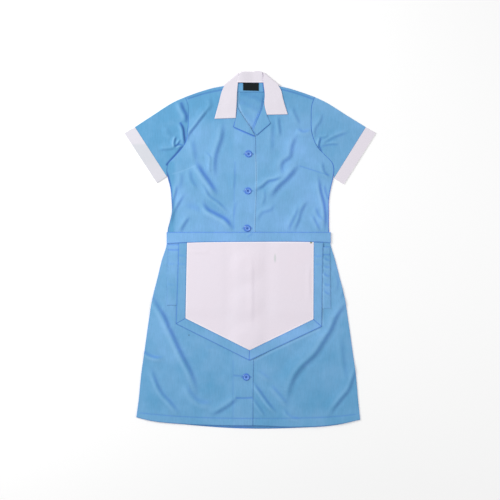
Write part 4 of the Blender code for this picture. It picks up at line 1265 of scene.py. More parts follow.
def side_line(armhole, side, inset):
    """The armhole and the side seam as one edge, moved into the panel at the armhole seam."""
    arm = shifted(along(armhole, armhole_steps), inset)
    return np.concatenate([arm, along(side, side_steps)[1:]])


def front_line(neck, edge, rows, bend_share):
    """The neckline and the front edge as one line of that many rows."""
    upper = round(rows * bend_share)
    return np.concatenate([straight(neck, upper), along(edge, rows - upper)[1:]])


bodice_rows = armhole_steps + side_steps
bodice_left = side_line(ARMHOLE_LEFT, SIDE_LEFT, SEAM)
bodice_right = side_line(ARMHOLE_RIGHT, SIDE_RIGHT, -SEAM)
bodice_left[-1, 1] = bodice_right[-1, 1] = WAIST_SEAM_Y + SEAM

centre = front_line(NECK_LEFT, EDGE_LEFT, bodice_rows, NECK_SHARE_LEFT)
centre[-1, 1] = WAIST_SEAM_Y + SEAM
shoulder = along(SHOULDER_LEFT, bodice_columns)
shoulder[0] = bodice_left[0]
waist = straight([bodice_left[-1], centre[-1]], bodice_columns)
left_rim = np.concatenate([np.full(armhole_steps + 1, ARM_RIM_LEFT), np.full(side_steps, SIDE_RIM_LEFT)])
panel(
    "bodice_front_left", patch(shoulder, waist, bodice_left, centre), left_bodice_under,
    left_bodice_details, bodice_tone,
    Rims(top=0.5, bottom=0.5, left=left_rim, right=-0.60),
)

centre = front_line(NECK_RIGHT, EDGE_RIGHT, bodice_rows, NECK_SHARE_RIGHT)
centre[-1, 1] = WAIST_SEAM_Y + SEAM
shoulder = along(SHOULDER_RIGHT, bodice_columns)
shoulder[-1] = bodice_right[0]
waist = straight([centre[-1], bodice_right[-1]], bodice_columns)
panel(
    "bodice_front_right", patch(shoulder, waist, centre, bodice_right), bodice_under,
    bodice_details, bodice_tone,
    Rims(top=0.5, bottom=0.5, left=0.6, right=ARM_RIM_RIGHT),
)

# %% Bodice back
NECK_SEAM_Y = 467.6
BACK_STEP = 3
BACK_TONE = 0.45
NECK_SHADOW_COOL = 1.65
NECK_SHADOW_Y = 368.0
ROLL_SHADOW = [(35.5, 430), (34.6, 410), (21.4, 374), (7.0, 336)]
ROLL_LIGHT = [(-30.6, 450), (-32.4, 408), (-20.5, 378), (4.0, 338)]
NECK_SHADE = 0.18
NECK_SHADE_Y = 380.0
INSIDE_FOLDS = [
    Fold([(-40, 440), (-8, 433), (20, 424), (44, 404)], 5.0, 0.9, 16, 0.40),
    Fold([(-40, 418), (-4, 404), (34, 384)], 5.0, 0.8, 16, 0.25),
    Fold([(-34, 392), (-4, 372), (14, 348)], 5.0, 0.8, 16, 0.20),
]
# Painted shadow beside the right lapel's roll, and painted light beside the left one.
ROLL_LINES = [Groove(ROLL_SHADOW, 1.7, 0.0, 0.7), Groove(ROLL_LIGHT, 2.4, 0.0, -0.9)]


def back_details(x, y):
    """The inside of the back has slack folds across it, and painted shade by the neck and the lapel."""
    lift, shade = folds_at(INSIDE_FOLDS, x, y)
    shade += folds_at(BODICE_BACK_FOLDS, x, y)[1] + NECK_SHADE * smooth(0.0, 60.0, y - NECK_SHADE_Y)
    return np.maximum(lift, 0.0), shade + grooves_at(ROLL_LINES, x, y)[1]


def back_tone(x, y):
    """Painted shade under the neck seam, and lighter down in the V of the opening."""
    return BACK_TONE - NECK_SHADOW_COOL * smooth(0.0, 75.0, y - NECK_SHADOW_Y)


back_columns = 66
neck_line = NECK_SEAM_Y - SEAM
third = back_columns * 3 // 10
back_top = np.concatenate([
    along(SHOULDER_LEFT[:-1] + [(-40, neck_line)], third),
    straight([(-40, neck_line), (42, neck_line)], back_columns - 2 * third)[1:-1],
    along([(42, neck_line)] + SHOULDER_RIGHT[1:], third),
])
back_left, back_right = bodice_left[::BACK_STEP].copy(), bodice_right[::BACK_STEP].copy()
back_left[-1], back_right[-1] = bodice_left[-1], bodice_right[-1]
back_top[0], back_top[-1] = back_left[0], back_right[0]
back_low = straight([back_left[-1], back_right[-1]], back_columns)
panel(
    "bodice_back", patch(back_top, back_low, back_left, back_right), bodice_back_under,
    back_details, back_tone, Rims(top=0.5, bottom=0.2, left=0.3, right=0.3),
)

# %% [markdown]
# ## Skirt
#
# The skirt flares from the waist to the hem. Its hem is turned up and stitched, and the turned part
# lies half a millimetre higher. The back is a little longer, so it shows below the front, with painted
# shade.

# %% Sewn lines of the skirt
FACING_LINE_LOW = [(-47, -306), (-47.5, -370), (-47.5, -470)]
PLACKET_CREASE = [(-40, -413.4), (-18, -414), (7, -412.6)]
BUTTON_CREASE = [(-46, -350.4), (-34, -351.8), (-20, -352)]
APRON_LIT_LOW = [(5, -311), (100, -266), (199, -220)]
APRON_LIT_SIDE = [(203, -62), (203.6, -140), (202.6, -214)]
# APRON_LIT_LOW and APRON_LIT_SIDE paint light on the skirt beside the apron border's edges; the other lines
# paint shade.
SKIRT_GROOVES = [
    Groove(FACING_LINE_LOW, 2.2, 0.3, 0.22), Groove(HEM_LINE, 2.0, 0.4, 0.40),
    Groove(PLACKET_CREASE, 2.0, 0.6, 0.80), Groove(BUTTON_CREASE, 2.2, 0.5, 0.50),
    Groove(APRON_LIT_LOW, 3.6, 0.0, -0.35), Groove(APRON_LIT_SIDE, 2.8, 0.0, -0.45),
]
print("sewn lines in the skirt:", len(SKIRT_GROOVES))

# %% Shade and tone of the skirt
SHADE_UNDER_HEM = 0.30
FACING_LOW_X = -47.5
SKIRT_TONE = 0.16
SKIRT_LOW_SHADE = 0.58
SKIRT_RIGHT_SHADE = 0.14
SKIRT_DOUBLED_TONE = 0.30


def skirt_details(x, y):
    calm = calm_skirt(x, y)
    shade = folds_at(SKIRT_FOLDS, x, y)[1] * calm
    groove, line = grooves_at(SKIRT_GROOVES, x, y)
    return groove + hem_step(x, y), shade + line + button_shadow_rings(x, y)


def left_skirt_details(x, y):
    groove, shade = skirt_details(x, y)
    return groove - EDGE_THIN * smooth(-EDGE_THIN_RUN, 0.0, x - edge_at(SKIRT_EDGE_LEFT, y)), shade


def skirt_tone(x, y):
    """Painted shade, cooler and darker, towards the hem and the right, and lighter where the facing doubles
    the front.
    """
    doubled = smooth(-2.0, 2.0, x - FACING_LOW_X) * smooth(-2.0, 2.0, edge_at(SKIRT_EDGE_LEFT, y) + 1 - x)
    down = smooth(-60.0, 480.0, -y)
    right = smooth(-320.0, 320.0, x)
    return SKIRT_TONE - SKIRT_LOW_SHADE * down - SKIRT_RIGHT_SHADE * right + SKIRT_DOUBLED_TONE * doubled


def below_hem(x, y):
    """The strip of the back that shows under the front's hem is given a painted shadow."""
    shade = folds_at(SKIRT_BACK_FOLDS, x, y)[1]
    return np.zeros_like(x), shade + SHADE_UNDER_HEM * smooth(470.0, 490.0, -y)


# %% Skirt panels
SKIRT_EDGE_RIGHT = [(-24, 36), (-27, -280), (-29, -490)]
FRONT_HEM_LEFT = [(-318, -468), (-290, -475), (-179, -487), (-90, -490.5), (8.1, -491)]
FRONT_HEM_RIGHT = [(-29, -490), (40, -492), (120, -495), (252, -486.5), (308, -475)]
BACK_HEM = [
    (-318, -468), (-290, -475.5), (-179, -488.5), (-45, -498.5), (39, -500), (120, -498), (252, -488),
    (308, -475),
]
SIDE_RIM = 0.40
SKIRT_COLUMNS = 120
SKIRT_BACK_COLUMNS = 84
skirt_rows = steps_along(SKIRT_SIDE_LEFT)
skirt_left = along(SKIRT_SIDE_LEFT, skirt_rows)
skirt_right = along(SKIRT_SIDE_RIGHT, skirt_rows)
skirt_left[0, 1] = skirt_right[0, 1] = WAIST_SEAM_Y - SEAM

centre = along(SKIRT_EDGE_LEFT, skirt_rows)
centre[0, 1] = WAIST_SEAM_Y - SEAM
panel(
    "skirt_front_left",
    patch(
        straight([skirt_left[0], centre[0]], SKIRT_COLUMNS), along(FRONT_HEM_LEFT, SKIRT_COLUMNS),
        skirt_left, centre,
    ),
    left_skirt_under, left_skirt_details, skirt_tone,
    Rims(top=0.4, bottom=0.45, left=SIDE_RIM, right=0.45),
)

centre = along(SKIRT_EDGE_RIGHT, skirt_rows)
centre[0, 1] = WAIST_SEAM_Y - SEAM
panel(
    "skirt_front_right",
    patch(
        straight([centre[0], skirt_right[0]], SKIRT_COLUMNS), along(FRONT_HEM_RIGHT, SKIRT_COLUMNS),
        centre, skirt_right,
    ),
    skirt_under, skirt_details, skirt_tone,
    Rims(top=0.4, bottom=0.45, left=0.3, right=SIDE_RIM),
)

back_rows = skirt_rows // BACK_STEP
back_left, back_right = along(SKIRT_SIDE_LEFT, back_rows), along(SKIRT_SIDE_RIGHT, back_rows)
back_left[0, 1] = back_right[0, 1] = WAIST_SEAM_Y - SEAM
panel(
    "skirt_back",
    patch(
        straight([back_left[0], back_right[0]], SKIRT_BACK_COLUMNS), along(BACK_HEM, SKIRT_BACK_COLUMNS),
        back_left, back_right,
    ),
    skirt_back_under, below_hem, skirt_tone,
    Rims(top=0.2, bottom=0.5, left=0.3, right=0.3),
)

# %% [markdown]
# ## Sleeves and cuffs
#
# A sleeve laid flat is a pressed tube: the lower layer on the table, the upper one over it, and a
# round fold along the shoulder side and the underarm. The cuff is a white band turned up round its
# end. Both are made from rings, one for each step from the armhole to the hem.

# %% Pressed tubes
ARC = [math.radians(a) for a in (90, 67.5, 45, 22.5, 0, -22.5, -45, -67.5, -90)]


def pressed_tube(name, grid, under, details, tone, thickness, material):
    """A tube pressed flat. Each row of the grid is a ring, from one folded edge to the other."""
    x, y = grid[..., 0], grid[..., 1]
    extra, shades = details(x, y)
    tones = tone(x, y)
    upper, edges = under(x, y), under(x[:, [0, -1]], y[:, [0, -1]])
    outer, inner, numbers = [], [], []
    for i in range(len(grid)):
        rings, values = ([], []), []
        for side, end, step in ((0, 0, 1), (1, -1, -1)):
            out = grid[i, end] - grid[i, end + step]
            out /= np.linalg.norm(out)
            radius = (edges[i, side] + thickness) / 2
            middle = grid[i, end] - out * radius
            for angle in (ARC[::-1] if side == 0 else ARC):
                values.append((shades[i, end], tones[i, end]))
                for ring, size in zip(rings, (radius, radius - thickness)):
                    place = middle + out * size * math.cos(angle)
                    ring.append((*place, radius + size * math.sin(angle)))
            for j in (range(1, grid.shape[1] - 1) if side == 0 else range(grid.shape[1] - 2, 0, -1)):
                low = 0.0 if side else upper[i, j] + extra[i, j]
                values.append((shades[i, j] if side == 0 else 0.0, tones[i, j]))
                rings[0].append((x[i, j], y[i, j], low if side else low + thickness))
                rings[1].append((x[i, j], y[i, j], low + thickness if side else low))
        outer.append(rings[0])
        inner.append(rings[1])
        numbers.append(values)
    outer, inner, numbers = np.array(outer), np.array(inner), np.array(numbers)
    rows, around = outer.shape[:2]
    number = np.arange(rows * around).reshape(rows, around)
    count = rows * around
    ends = [np.stack([number[k], number[k] + count]) for k in (0, -1)]
    faces = [quads(number, True), quads(number + count, True), *[quads(e, True) for e in ends]]
    faces = np.concatenate(faces)
    vertices = np.concatenate([outer.reshape(-1, 3), inner.reshape(-1, 3)])
    spread = {label: np.tile(numbers[..., k].ravel(), 2) for k, label in enumerate(("fold_shade", "tone"))}
    return make_object(name, vertices, faces, material, spread)


# %% Shade and tone of the sleeves and cuffs
PINCH_TOP = [(-193, 414), (-186, 394), (-178, 376), (-179, 356)]
PINCH_LOW = [(-196, 358), (-187, 340), (-184, 318), (-181, 292)]
ARMHOLE_FOLD = [(-190, 290), (-205, 270), (-222, 251), (-234.4, 236)]
# Painted shade in the deep middle of the tight folds at the left armhole.
SLEEVE_GROOVES = [
    Groove(ARMHOLE_FOLD, 3.4, 0.6, 1.90),
    Groove(PINCH_TOP, 5.0, 0.0, 0.60), Groove(PINCH_LOW, 3.4, 0.0, 1.10),
]
SLEEVE_TONES = (-0.85, -0.05)
ARMHOLE_SHADE = 0.5
HEM_SHADE = 0.25
CUFF_TONE = -0.60
CUFF_LOW_GREY = 0.40
CUFF_LOW_GREY_Y = 296.0
CUFF_FADE = 0.6
CUFF_FADE_Y = 262.0
CUFF_RIGHT_TONE = 0.40


def sleeve_details(x, y):
    shade = folds_at(SLEEVE_FOLDS, x, y)[1]
    groove, line = grooves_at(SLEEVE_GROOVES, x, y)
    rows = np.arange(len(x))[:, None]
    seam = ARMHOLE_SHADE * (rows == 0) + HEM_SHADE * (rows == len(x) - 1)
    return groove, shade + line + seam * np.ones_like(x)


def sleeve_tone(x, y):
    return np.where(x < 0, *SLEEVE_TONES)


def cuff_tone(x, y):
    """The left cuff is greyer from the middle down, and the right one brighter."""
    fade = 1.0 - CUFF_FADE * smooth(0.0, 50.0, CUFF_FADE_Y - y)
    greyer = CUFF_LOW_GREY * smooth(-3.0, 3.0, CUFF_LOW_GREY_Y - y) * fade
    return CUFF_TONE - greyer * smooth(0.0, 100.0, -x) + CUFF_RIGHT_TONE * smooth(0.0, 100.0, x)


# %% Sleeves and cuffs
SLEEVE_TOP_LEFT = [(-181, 428), (-201.6, 419.5), (-277, 373.5), (-322, 344)]
SLEEVE_TOP_RIGHT = [(181, 428), (200.2, 419.5), (276, 373.5), (324, 344)]
SLEEVE_HEM_LEFT = [(-322, 344), (-232.4, 205)]
SLEEVE_HEM_RIGHT = [(324, 344), (235, 201)]
CUFF_HEM_LEFT = [(-352, 327.5), (-260, 187)]
CUFF_HEM_RIGHT = [(352, 328), (262, 184)]
SLEEVE_COLUMNS = 62
SLEEVE_SHARE = 13 / 14
CUFF_ROWS = 14
CUFF_COLUMNS = 64


def make_sleeve(side, armhole, top, hem, cuff_hem, turn):
    """One sleeve and its cuff. Turn is 1 on the left and -1 on the right, where lines run the other
    way round. The last of the armhole is the underarm, which the sleeve leaves free."""
    seam = shifted(along(armhole, armhole_steps), -turn * SEAM)[:round(armhole_steps * SLEEVE_SHARE)]
    end = straight(hem, len(seam) - 1)
    over = along(top, SLEEVE_COLUMNS)
    over[0] = seam[0]
    underarm = straight([seam[-1], end[-1]], SLEEVE_COLUMNS)
    grid = patch(seam, end, over, underarm)
    piece = pressed_tube(
        f"sleeve_{side}_cloth", grid, sleeve_under, sleeve_details, sleeve_tone, CLOTH, blue_poplin,
    )
    lay(piece, f"sleeve_{side}", grid, layers=2)

    joint = shifted(straight(hem, CUFF_COLUMNS), -turn * GAP)
    edge = straight(cuff_hem, CUFF_COLUMNS)
    grid = patch(joint, edge, *joining(joint, edge, CUFF_ROWS))
    piece = pressed_tube(
        f"cuff_{side}_cloth", grid, cuff_under, no_details, cuff_tone, CLOTH, white_poplin,
    )
    lay(piece, f"cuff_{side}", grid, layers=2)


make_sleeve("left", ARMHOLE_LEFT, SLEEVE_TOP_LEFT, SLEEVE_HEM_LEFT, CUFF_HEM_LEFT, 1)
make_sleeve("right", ARMHOLE_RIGHT, SLEEVE_TOP_RIGHT, SLEEVE_HEM_RIGHT, CUFF_HEM_RIGHT, -1)

# %% [markdown]
# ## Collar, stand and lapels
#
# The collar is one white leaf that folds round the back of the neck. Its ends lie on the fronts, and
# its middle lies flat under the back, with a round fold at each shoulder between them. The stand behind
# the neck rolls over at the top and goes down into the neck seam. Both are interlined, so they are
# thicker and smoother than the dress. The lapels are the turned faces of the front facings. Their turned
# edges are deep blue lines of painted shade, and the collar's and stand's edges carry a faint painted
# shade.

# %% Collar
COLLAR_OUTER_LEFT = [(-99.4, 366.8), (-87, 412), (-77, 448), (-71.5, 459.2)]
COLLAR_INNER_LEFT = [(-39.8, 369), (-37.2, 410), (-35.4, 450), (-30.5, 492.5)]
COLLAR_OUTER_RIGHT = [(105.6, 379.2), (93, 420), (84.5, 451), (79, 459.2)]
COLLAR_INNER_RIGHT = [(47.3, 378), (40.4, 406), (41.2, 436), (37.6, 466), (37, 494)]
COLLAR_FALL_EDGE = [(-71.5, 459.2), (-45, 451), (0, 447), (48, 451), (79, 459.2)]
COLLAR_ROLL = [(-30.5, 492.5), (-23, 498.2), (2, 498.8), (33, 498.6), (37, 494)]
LEVEL_FROM = 0.55
LEAF_COLUMNS = 22
LEAF_ROWS = 40
FALL_COLUMNS = 48
COLLAR_RIM = 0.30
COLLAR_TONE = -0.28
COLLAR_EDGE_TONE = 0.30


def wrap_rows(line, out, low, top):
    """Rows that carry a wall round a folded edge, from its upper layer to its lower one."""
    middle, radius = (low + top) / 2, (top - low) / 2
    turns = []
    for size in (radius, radius - DOUBLE):
        turns.append([
            np.column_stack([
                line + out * size * math.cos(a), np.full(len(line), middle + size * math.sin(a)),
            ])
            for a in ARC
        ])
    return turns


def make_leaf(outer_line, inner_line, top):
    """The face and the back of one end of the collar, from its point to where it has gone round."""
    ends = joining(outer_line, inner_line, LEAF_COLUMNS)
    grid = patch(*ends, along(outer_line, LEAF_ROWS), along(inner_line, LEAF_ROWS))
    share = smooth(LEVEL_FROM, 1.0, np.linspace(0.0, 1.0, LEAF_ROWS + 1))[:, None]
    z = leaf_under(grid[..., 0], grid[..., 1]) * (1 - share) + (top - DOUBLE) * share
    sides = [np.concatenate([grid, (z + lift)[..., None]], axis=-1)[:-1] for lift in (DOUBLE, 0.0)]
    fold = grid[-1, -1] - grid[-1, 0]
    out = np.array([-fold[1], fold[0]]) * np.sign(fold[0]) / np.linalg.norm(fold)
    turns = wrap_rows(grid[-1], out, 0.0, top)
    return [np.concatenate([side, turn]) for side, turn in zip(sides, turns)], grid


def make_collar():
    top = float(leaf_under(*np.array(SHOULDER_LEFT[-1]))) + DOUBLE
    left, left_grid = make_leaf(COLLAR_OUTER_LEFT, COLLAR_INNER_LEFT, top)
    right, right_grid = make_leaf(COLLAR_OUTER_RIGHT, COLLAR_INNER_RIGHT, top)
    sides = joining(COLLAR_FALL_EDGE, COLLAR_ROLL, LEAF_COLUMNS)
    fall = patch(along(COLLAR_FALL_EDGE, FALL_COLUMNS), along(COLLAR_ROLL, FALL_COLUMNS), *sides)
    fall = fall.transpose(1, 0, 2)
    walls = []
    for k, height in enumerate((0.0, DOUBLE)):
        flat = np.concatenate([fall[1:-1], np.full((*fall[1:-1].shape[:2], 1), height)], axis=-1)
        walls.append(np.concatenate([left[k], flat, right[k][::-1]]))
    face, back = walls
    tone = np.full(face.shape[:2], COLLAR_TONE)
    tone[:, [0, -1]] = tone[[0, -1]] = COLLAR_EDGE_TONE
    # A faint painted shade along every edge of the collar.
    rims = Rims(COLLAR_RIM, COLLAR_RIM, COLLAR_RIM, COLLAR_RIM)
    piece = closed_wall("collar_cloth", face, back, white_poplin, np.zeros_like(tone), tone, rims)
    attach(piece, BODY)
    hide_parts("collar")


make_collar()

# %% Stand
STAND_LEFT = [(-29.0, 495.4), (-36, NECK_SEAM_Y + GAP)]
STAND_RIGHT = [(35.4, 495.4), (40, NECK_SEAM_Y + GAP)]
STAND_COLUMNS = 44
STAND_ROWS = 14
STAND_RISE = 4.6
STAND_RISE_RUN = 42.0
STAND_TONE = -0.30
ROLL_PAST = 0.6


def make_stand():
    """The stand rolls over the collar's fold. On the left it rises to meet the leaf, and on the right
    it goes under it."""
    sides = [straight(line, STAND_ROWS) for line in (STAND_LEFT, STAND_RIGHT)]
    grid = patch(*joining(STAND_LEFT, STAND_RIGHT, STAND_COLUMNS), *sides)
    top = 2 * DOUBLE + GAP
    roll_y = np.interp(grid[0, :, 0], *np.array(COLLAR_ROLL).T)
    line = np.stack([grid[0, :, 0], roll_y + ROLL_PAST - top / 2], axis=-1)
    turns = wrap_rows(line, np.array([0.0, 1.0]), 0.0, top)
    walls = []
    for turn, height in zip(turns, (top, top - DOUBLE)):
        flat = np.concatenate([grid, np.full((*grid.shape[:2], 1), height)], axis=-1)
        walls.append(np.concatenate([turn[::-1][2:-1], flat[1:]]))
    face, back = walls
    for wall in (face, back):
        reach = STAND_LEFT[0][0] + STAND_RISE_RUN - wall[..., 0]
        wall[..., 2] += STAND_RISE * smooth(0.0, STAND_RISE_RUN, reach)
    tone = np.full(face.shape[:2], STAND_TONE)
    tone[-3:] = COLLAR_EDGE_TONE
    # Painted shade at the neck seam, and a painted shadow on the right rim, where the stand goes under the
    # leaf.
    rims = Rims(top=0.0, bottom=0.5, left=0.0, right=1.0)
    piece = closed_wall("collar_stand_cloth", face, back, white_poplin, np.zeros_like(tone), tone, rims)
    lay(piece, "collar_stand", grid)


make_stand()

# %% Facing, label and lapels
Edges = namedtuple("Edges", "top bottom left right")


def four_sided(top_left, top_right, low_left, low_right):
    """The edges of a piece with four straight sides."""
    return Edges([top_left, top_right], [low_left, low_right], [top_left, low_left], [top_right, low_right])


LAPEL_LEFT = Edges(
    top=[(-39.4, 368.6), (-34.4, 396)],
    bottom=[(-47, 344.4), (14.4, 317.4)],
    left=[(-39.4, 368.6), (-47, 344.4)],
    right=[(-34.4, 396), (5.2, 334.6), (14.4, 317.4)],
)
LAPEL_RIGHT = Edges(
    top=[(37.2, 416), (46.6, 377.4)],
    bottom=[(8, 333.6), (18.2, 320.6)],
    left=[(37.2, 416), (33.8, 397), (8, 333.6)],
    right=[(46.6, 377.4), (57.4, 354.2), (18.2, 320.6)],
)
FACING_Y = 441.6
FACING = four_sided(
    (-46, NECK_SEAM_Y - GAP), (48, NECK_SEAM_Y - GAP), (-44, FACING_Y), (42, FACING_Y),
)
LABEL = 1.0
LABEL_EDGES = four_sided(
    (-19.4, NECK_SEAM_Y - GAP), (24.4, NECK_SEAM_Y - GAP), (-19.2, 446), (24.4, 444.8),
)
FACING_TONE = -0.55
LAPEL_TONE = -0.15
COLLAR_SHADOW = 1.6
COLLAR_SHADOW_WIDE = 2.2
COLLAR_SHADOW_EDGE = [(36.6, 468), (41.2, 436)]
ROLL_THIN = (0.25, 0.6, 1.0)


def broken_patch(edges, columns, rows):
    """Rows of points between four broken lines."""
    return patch(
        straight(edges.top, columns), straight(edges.bottom, columns),
        straight(edges.left, rows), straight(edges.right, rows),
    )


def facing_details(x, y):
    """A painted shadow that the collar's right end throws on the cloth beside it."""
    away = edge_at(COLLAR_SHADOW_EDGE, y) - x
    return np.zeros_like(x), COLLAR_SHADOW * np.exp(-((away / COLLAR_SHADOW_WIDE) ** 2))


def rolled_details(x, y):
    """The left lapel is thin along its roll, which is its right side."""
    thin = np.zeros_like(x)
    thin[:, -len(ROLL_THIN):] = np.array(ROLL_THIN) * EDGE_THIN
    return -thin, np.zeros_like(x)


panel(
    "neck_facing", broken_patch(FACING, columns=38, rows=12), facing_under,
    facing_details, FACING_TONE, Rims(top=0.6, bottom=0.5, left=0.3, right=0.3),
)
panel(
    "neck_label", broken_patch(LABEL_EDGES, columns=24, rows=14), label_under,
    finish=(label_satin, "black_label"), thickness=LABEL,
)
# The lapels' rims paint deep shade along their turned edges, past 1 into navy; the left lapel's roll side
# gets painted light.
panel(
    "lapel_left", broken_patch(LAPEL_LEFT, columns=18, rows=26), left_lapel_under,
    rolled_details, LAPEL_TONE, Rims(top=0.3, bottom=1.5, left=1.6, right=-0.2),
)
panel(
    "lapel_right", broken_patch(LAPEL_RIGHT, columns=18, rows=30), leaf_under,
    tone=LAPEL_TONE, rims=Rims(top=0.3, bottom=0.6, left=2.0, right=0.6),
)

# %% [markdown]
# ## Pockets, apron and waistband
#
# Two patch pockets lie mostly behind the apron, and the right one has puckered along its outer seam.
# The apron is a white five-sided panel, with a border of four blue strips that meet in mitres. The
# panel's turned edge is a thin bright line. The waistband is sewn over the top of both.

# %% Pockets
POCKET_SIDE_LEFT = (-229.0, -233.4)
POCKET_SIDE_RIGHT = (223.5, 225.8)
POCKET_HEM_LEFT = [(-229, 0.5), (-190, 0.0)]
POCKET_HEM_RIGHT = [(190, -12.5), (225, -13.5)]
POCKET_MIDDLE_X = -2.0
POCKET_THIN_FROM = (231.5, 228.0)
POCKET_TONE = 0.05
POCKET_TOP_TONE = 0.25
POCKET_RIGHT_TONE = 0.15
# APRON_LIT_SIDE paints light on the pocket beside the apron border's right edge.
POCKET_GROOVES = [
    Groove(POCKET_HEM_LEFT, 2.0, 0.4, 0.5), Groove(POCKET_HEM_RIGHT, 2.0, 0.4, 0.5),
    Groove(APRON_LIT_SIDE, 2.8, 0.0, -0.45),
]


def pocket_details(x, y):
    """The pressed edge is thin at the outer side and at the foot."""
    groove, line = grooves_at(POCKET_GROOVES, x, y)
    outer = np.interp(y, [POCKET_LEFT.low, POCKET_LEFT.high], POCKET_THIN_FROM)
    inside = np.minimum(outer - np.abs(x - POCKET_MIDDLE_X), y - POCKET_LEFT.low)
    thin = EDGE_THIN * smooth(-EDGE_THIN_RUN, 0.0, -inside)
    return groove - thin, folds_at(POCKET_FOLDS, x, y)[1] + line


def pocket_tone(x, y):
    """Lighter along the turned top and on the right."""
    top, right = smooth(-6.0, 2.0, y), smooth(0.0, 100.0, x)
    return POCKET_TONE + POCKET_TOP_TONE * top + POCKET_RIGHT_TONE * right


def make_pocket(side, box, outer_column, outer_side, rims):
    """A square patch whose outer side follows the side seam's slant."""
    columns, rows = steps_along([(box.left, 0), (box.right, 0)]), steps_along([(0, box.low), (0, box.high)])
    x, y = np.meshgrid(np.linspace(box.left, box.right, columns), np.linspace(box.high, box.low, rows))
    x[:, outer_column] = np.linspace(*outer_side, len(x))
    panel(
        f"pocket_{side}", np.stack([x, y], axis=-1), pocket_under,
        pocket_details, pocket_tone, rims,
    )


# Rims below 0 paint light along a pocket's pressed edges.
make_pocket("left", POCKET_LEFT, 0, POCKET_SIDE_LEFT, Rims(top=0.7, bottom=0.0, left=-0.3, right=0.0))
make_pocket("right", POCKET_RIGHT, -1, POCKET_SIDE_RIGHT, Rims(top=0.7, bottom=-0.2, left=0.0, right=-0.3))

# %% Waistband
BAND_TOP_Y = 49.8
BAND_LOW_Y = 23.0
BAND_DIP = 4.4
BAND_TILT = 0.006
BAND_LEFT = -233.0
BAND_RIGHT = 225.6
BAND_COLUMNS = 184
BAND_ROWS = 11
BAND_TONE = 0.55
BAND_FOLD = Fold([(10, 47), (0, 42), (-8, 33)], 3.0, 0.5, 8, 0.4)


def band_low(x):
    """The y of the waistband's lower edge, which dips towards the side seams."""
    middle, half = (BAND_RIGHT + BAND_LEFT) / 2, (BAND_RIGHT - BAND_LEFT) / 2
    return BAND_LOW_Y + BAND_TILT * x - BAND_DIP * (np.abs(x - middle) / half) ** 4


def band_details(x, y):
    """A slack spot at the middle, under the lowest button of the bodice."""
    lift, shade = folds_at([BAND_FOLD], x, y)
    return np.maximum(lift, 0.0), shade


stations = np.linspace(BAND_LEFT, BAND_RIGHT, BAND_COLUMNS + 1)
band_lower = np.column_stack([stations, band_low(stations)])
band_upper = np.column_stack([stations, np.full(len(stations), BAND_TOP_Y)])
panel(
    "waistband",
    patch(band_upper, band_lower, *joining(band_upper, band_lower, BAND_ROWS)),
    band_under,
    band_details, BAND_TONE, Rims(top=0.60, bottom=0.50, left=0.4, right=0.4),
)

# %% Apron
APRON_LEFT = [(-175.8, APRON_TOP_Y), (-180.2, -191)]
APRON_RIGHT = [(178, APRON_TOP_Y), (177.2, -193.5)]
APRON_POINT = (-1, -280)
APRON_COLUMNS = 140
APRON_SIDE_ROWS = 84
BORDER_COLUMNS = 9
PIPING = (0.4, 3.2)
PIPING_RISE = 0.35
BORDER_TONE = -0.20
BORDER_RIGHT_TONE = 0.6
BORDER_LOWER_TONE = 0.35
# Painted shade along each strip's outer edge, weakest on the right, where the lamp already casts a shadow.
BORDER_RIMS = {"left": 0.80, "lower_left": 0.65, "lower_right": 0.45, "right": 0.15}
apron_corners = [*APRON_LEFT, APRON_POINT, *reversed(APRON_RIGHT)]


def piping(x, y):
    """1 along the apron panel's turned edge, and 0 inside it."""
    return 1.0 - smooth(*PIPING, -outside_corners(apron_corners, x, y))


def apron_details(x, y):
    return PIPING_RISE * piping(x, y), folds_at(APRON_FOLDS, x, y)[1]


def border_details(x, y):
    return np.zeros_like(x), folds_at(APRON_FOLDS, x, y)[1]


def border_tone(x, y):
    """Lighter towards the right, and on the two lower strips."""
    right, lower = smooth(-100.0, 220.0, x), smooth(0.0, 60.0, -190.0 - y)
    return BORDER_TONE + BORDER_RIGHT_TONE * right + BORDER_LOWER_TONE * lower


apron_top = straight([APRON_LEFT[0], APRON_RIGHT[0]], APRON_COLUMNS)
apron_top[:, 1] = band_low(apron_top[:, 0]) - GAP
half = APRON_COLUMNS // 2
apron_hem = np.concatenate([
    straight([APRON_LEFT[-1], APRON_POINT], half), straight([APRON_POINT, APRON_RIGHT[-1]], half)[1:],
])
panel(
    "apron_panel",
    patch(apron_top, apron_hem, *joining(apron_top, apron_hem, APRON_SIDE_ROWS)),
    apron_under, apron_details, piping,
    finish=(white_poplin, "white_poplin"),
)

tops = [(x, band_low(x) - GAP) for x in (BORDER_OUT_LEFT[0][0], BORDER_OUT_RIGHT[0][0])]
inside = [apron_top[0], APRON_LEFT[1], APRON_POINT, APRON_RIGHT[1], apron_top[-1]]
outside = [tops[0], BORDER_OUT_LEFT[1], BORDER_POINT, BORDER_OUT_RIGHT[1], tops[1]]
strips = (
    ("left", APRON_SIDE_ROWS), ("lower_left", half), ("lower_right", half), ("right", APRON_SIDE_ROWS),
)
for at, (side, steps) in enumerate(strips):
    inner = shifted(straight(inside[at:at + 2], steps), -GAP)
    outer = straight(outside[at:at + 2], steps)
    run = (outer[-1] - outer[0]) / np.linalg.norm(outer[-1] - outer[0])
    if at > 0:
        inner[0] += run * 2 * SEAM
        outer[0] += run * 2 * SEAM
    if at < len(strips) - 1:
        inner[-1] -= run * 2 * SEAM
        outer[-1] -= run * 2 * SEAM
    panel(
        f"apron_border_{side}", patch(*joining(outer, inner, BORDER_COLUMNS), outer, inner), apron_under,
        border_details, border_tone,
        Rims(top=0.45, bottom=0.45, left=BORDER_RIMS[side], right=0.25),
    )

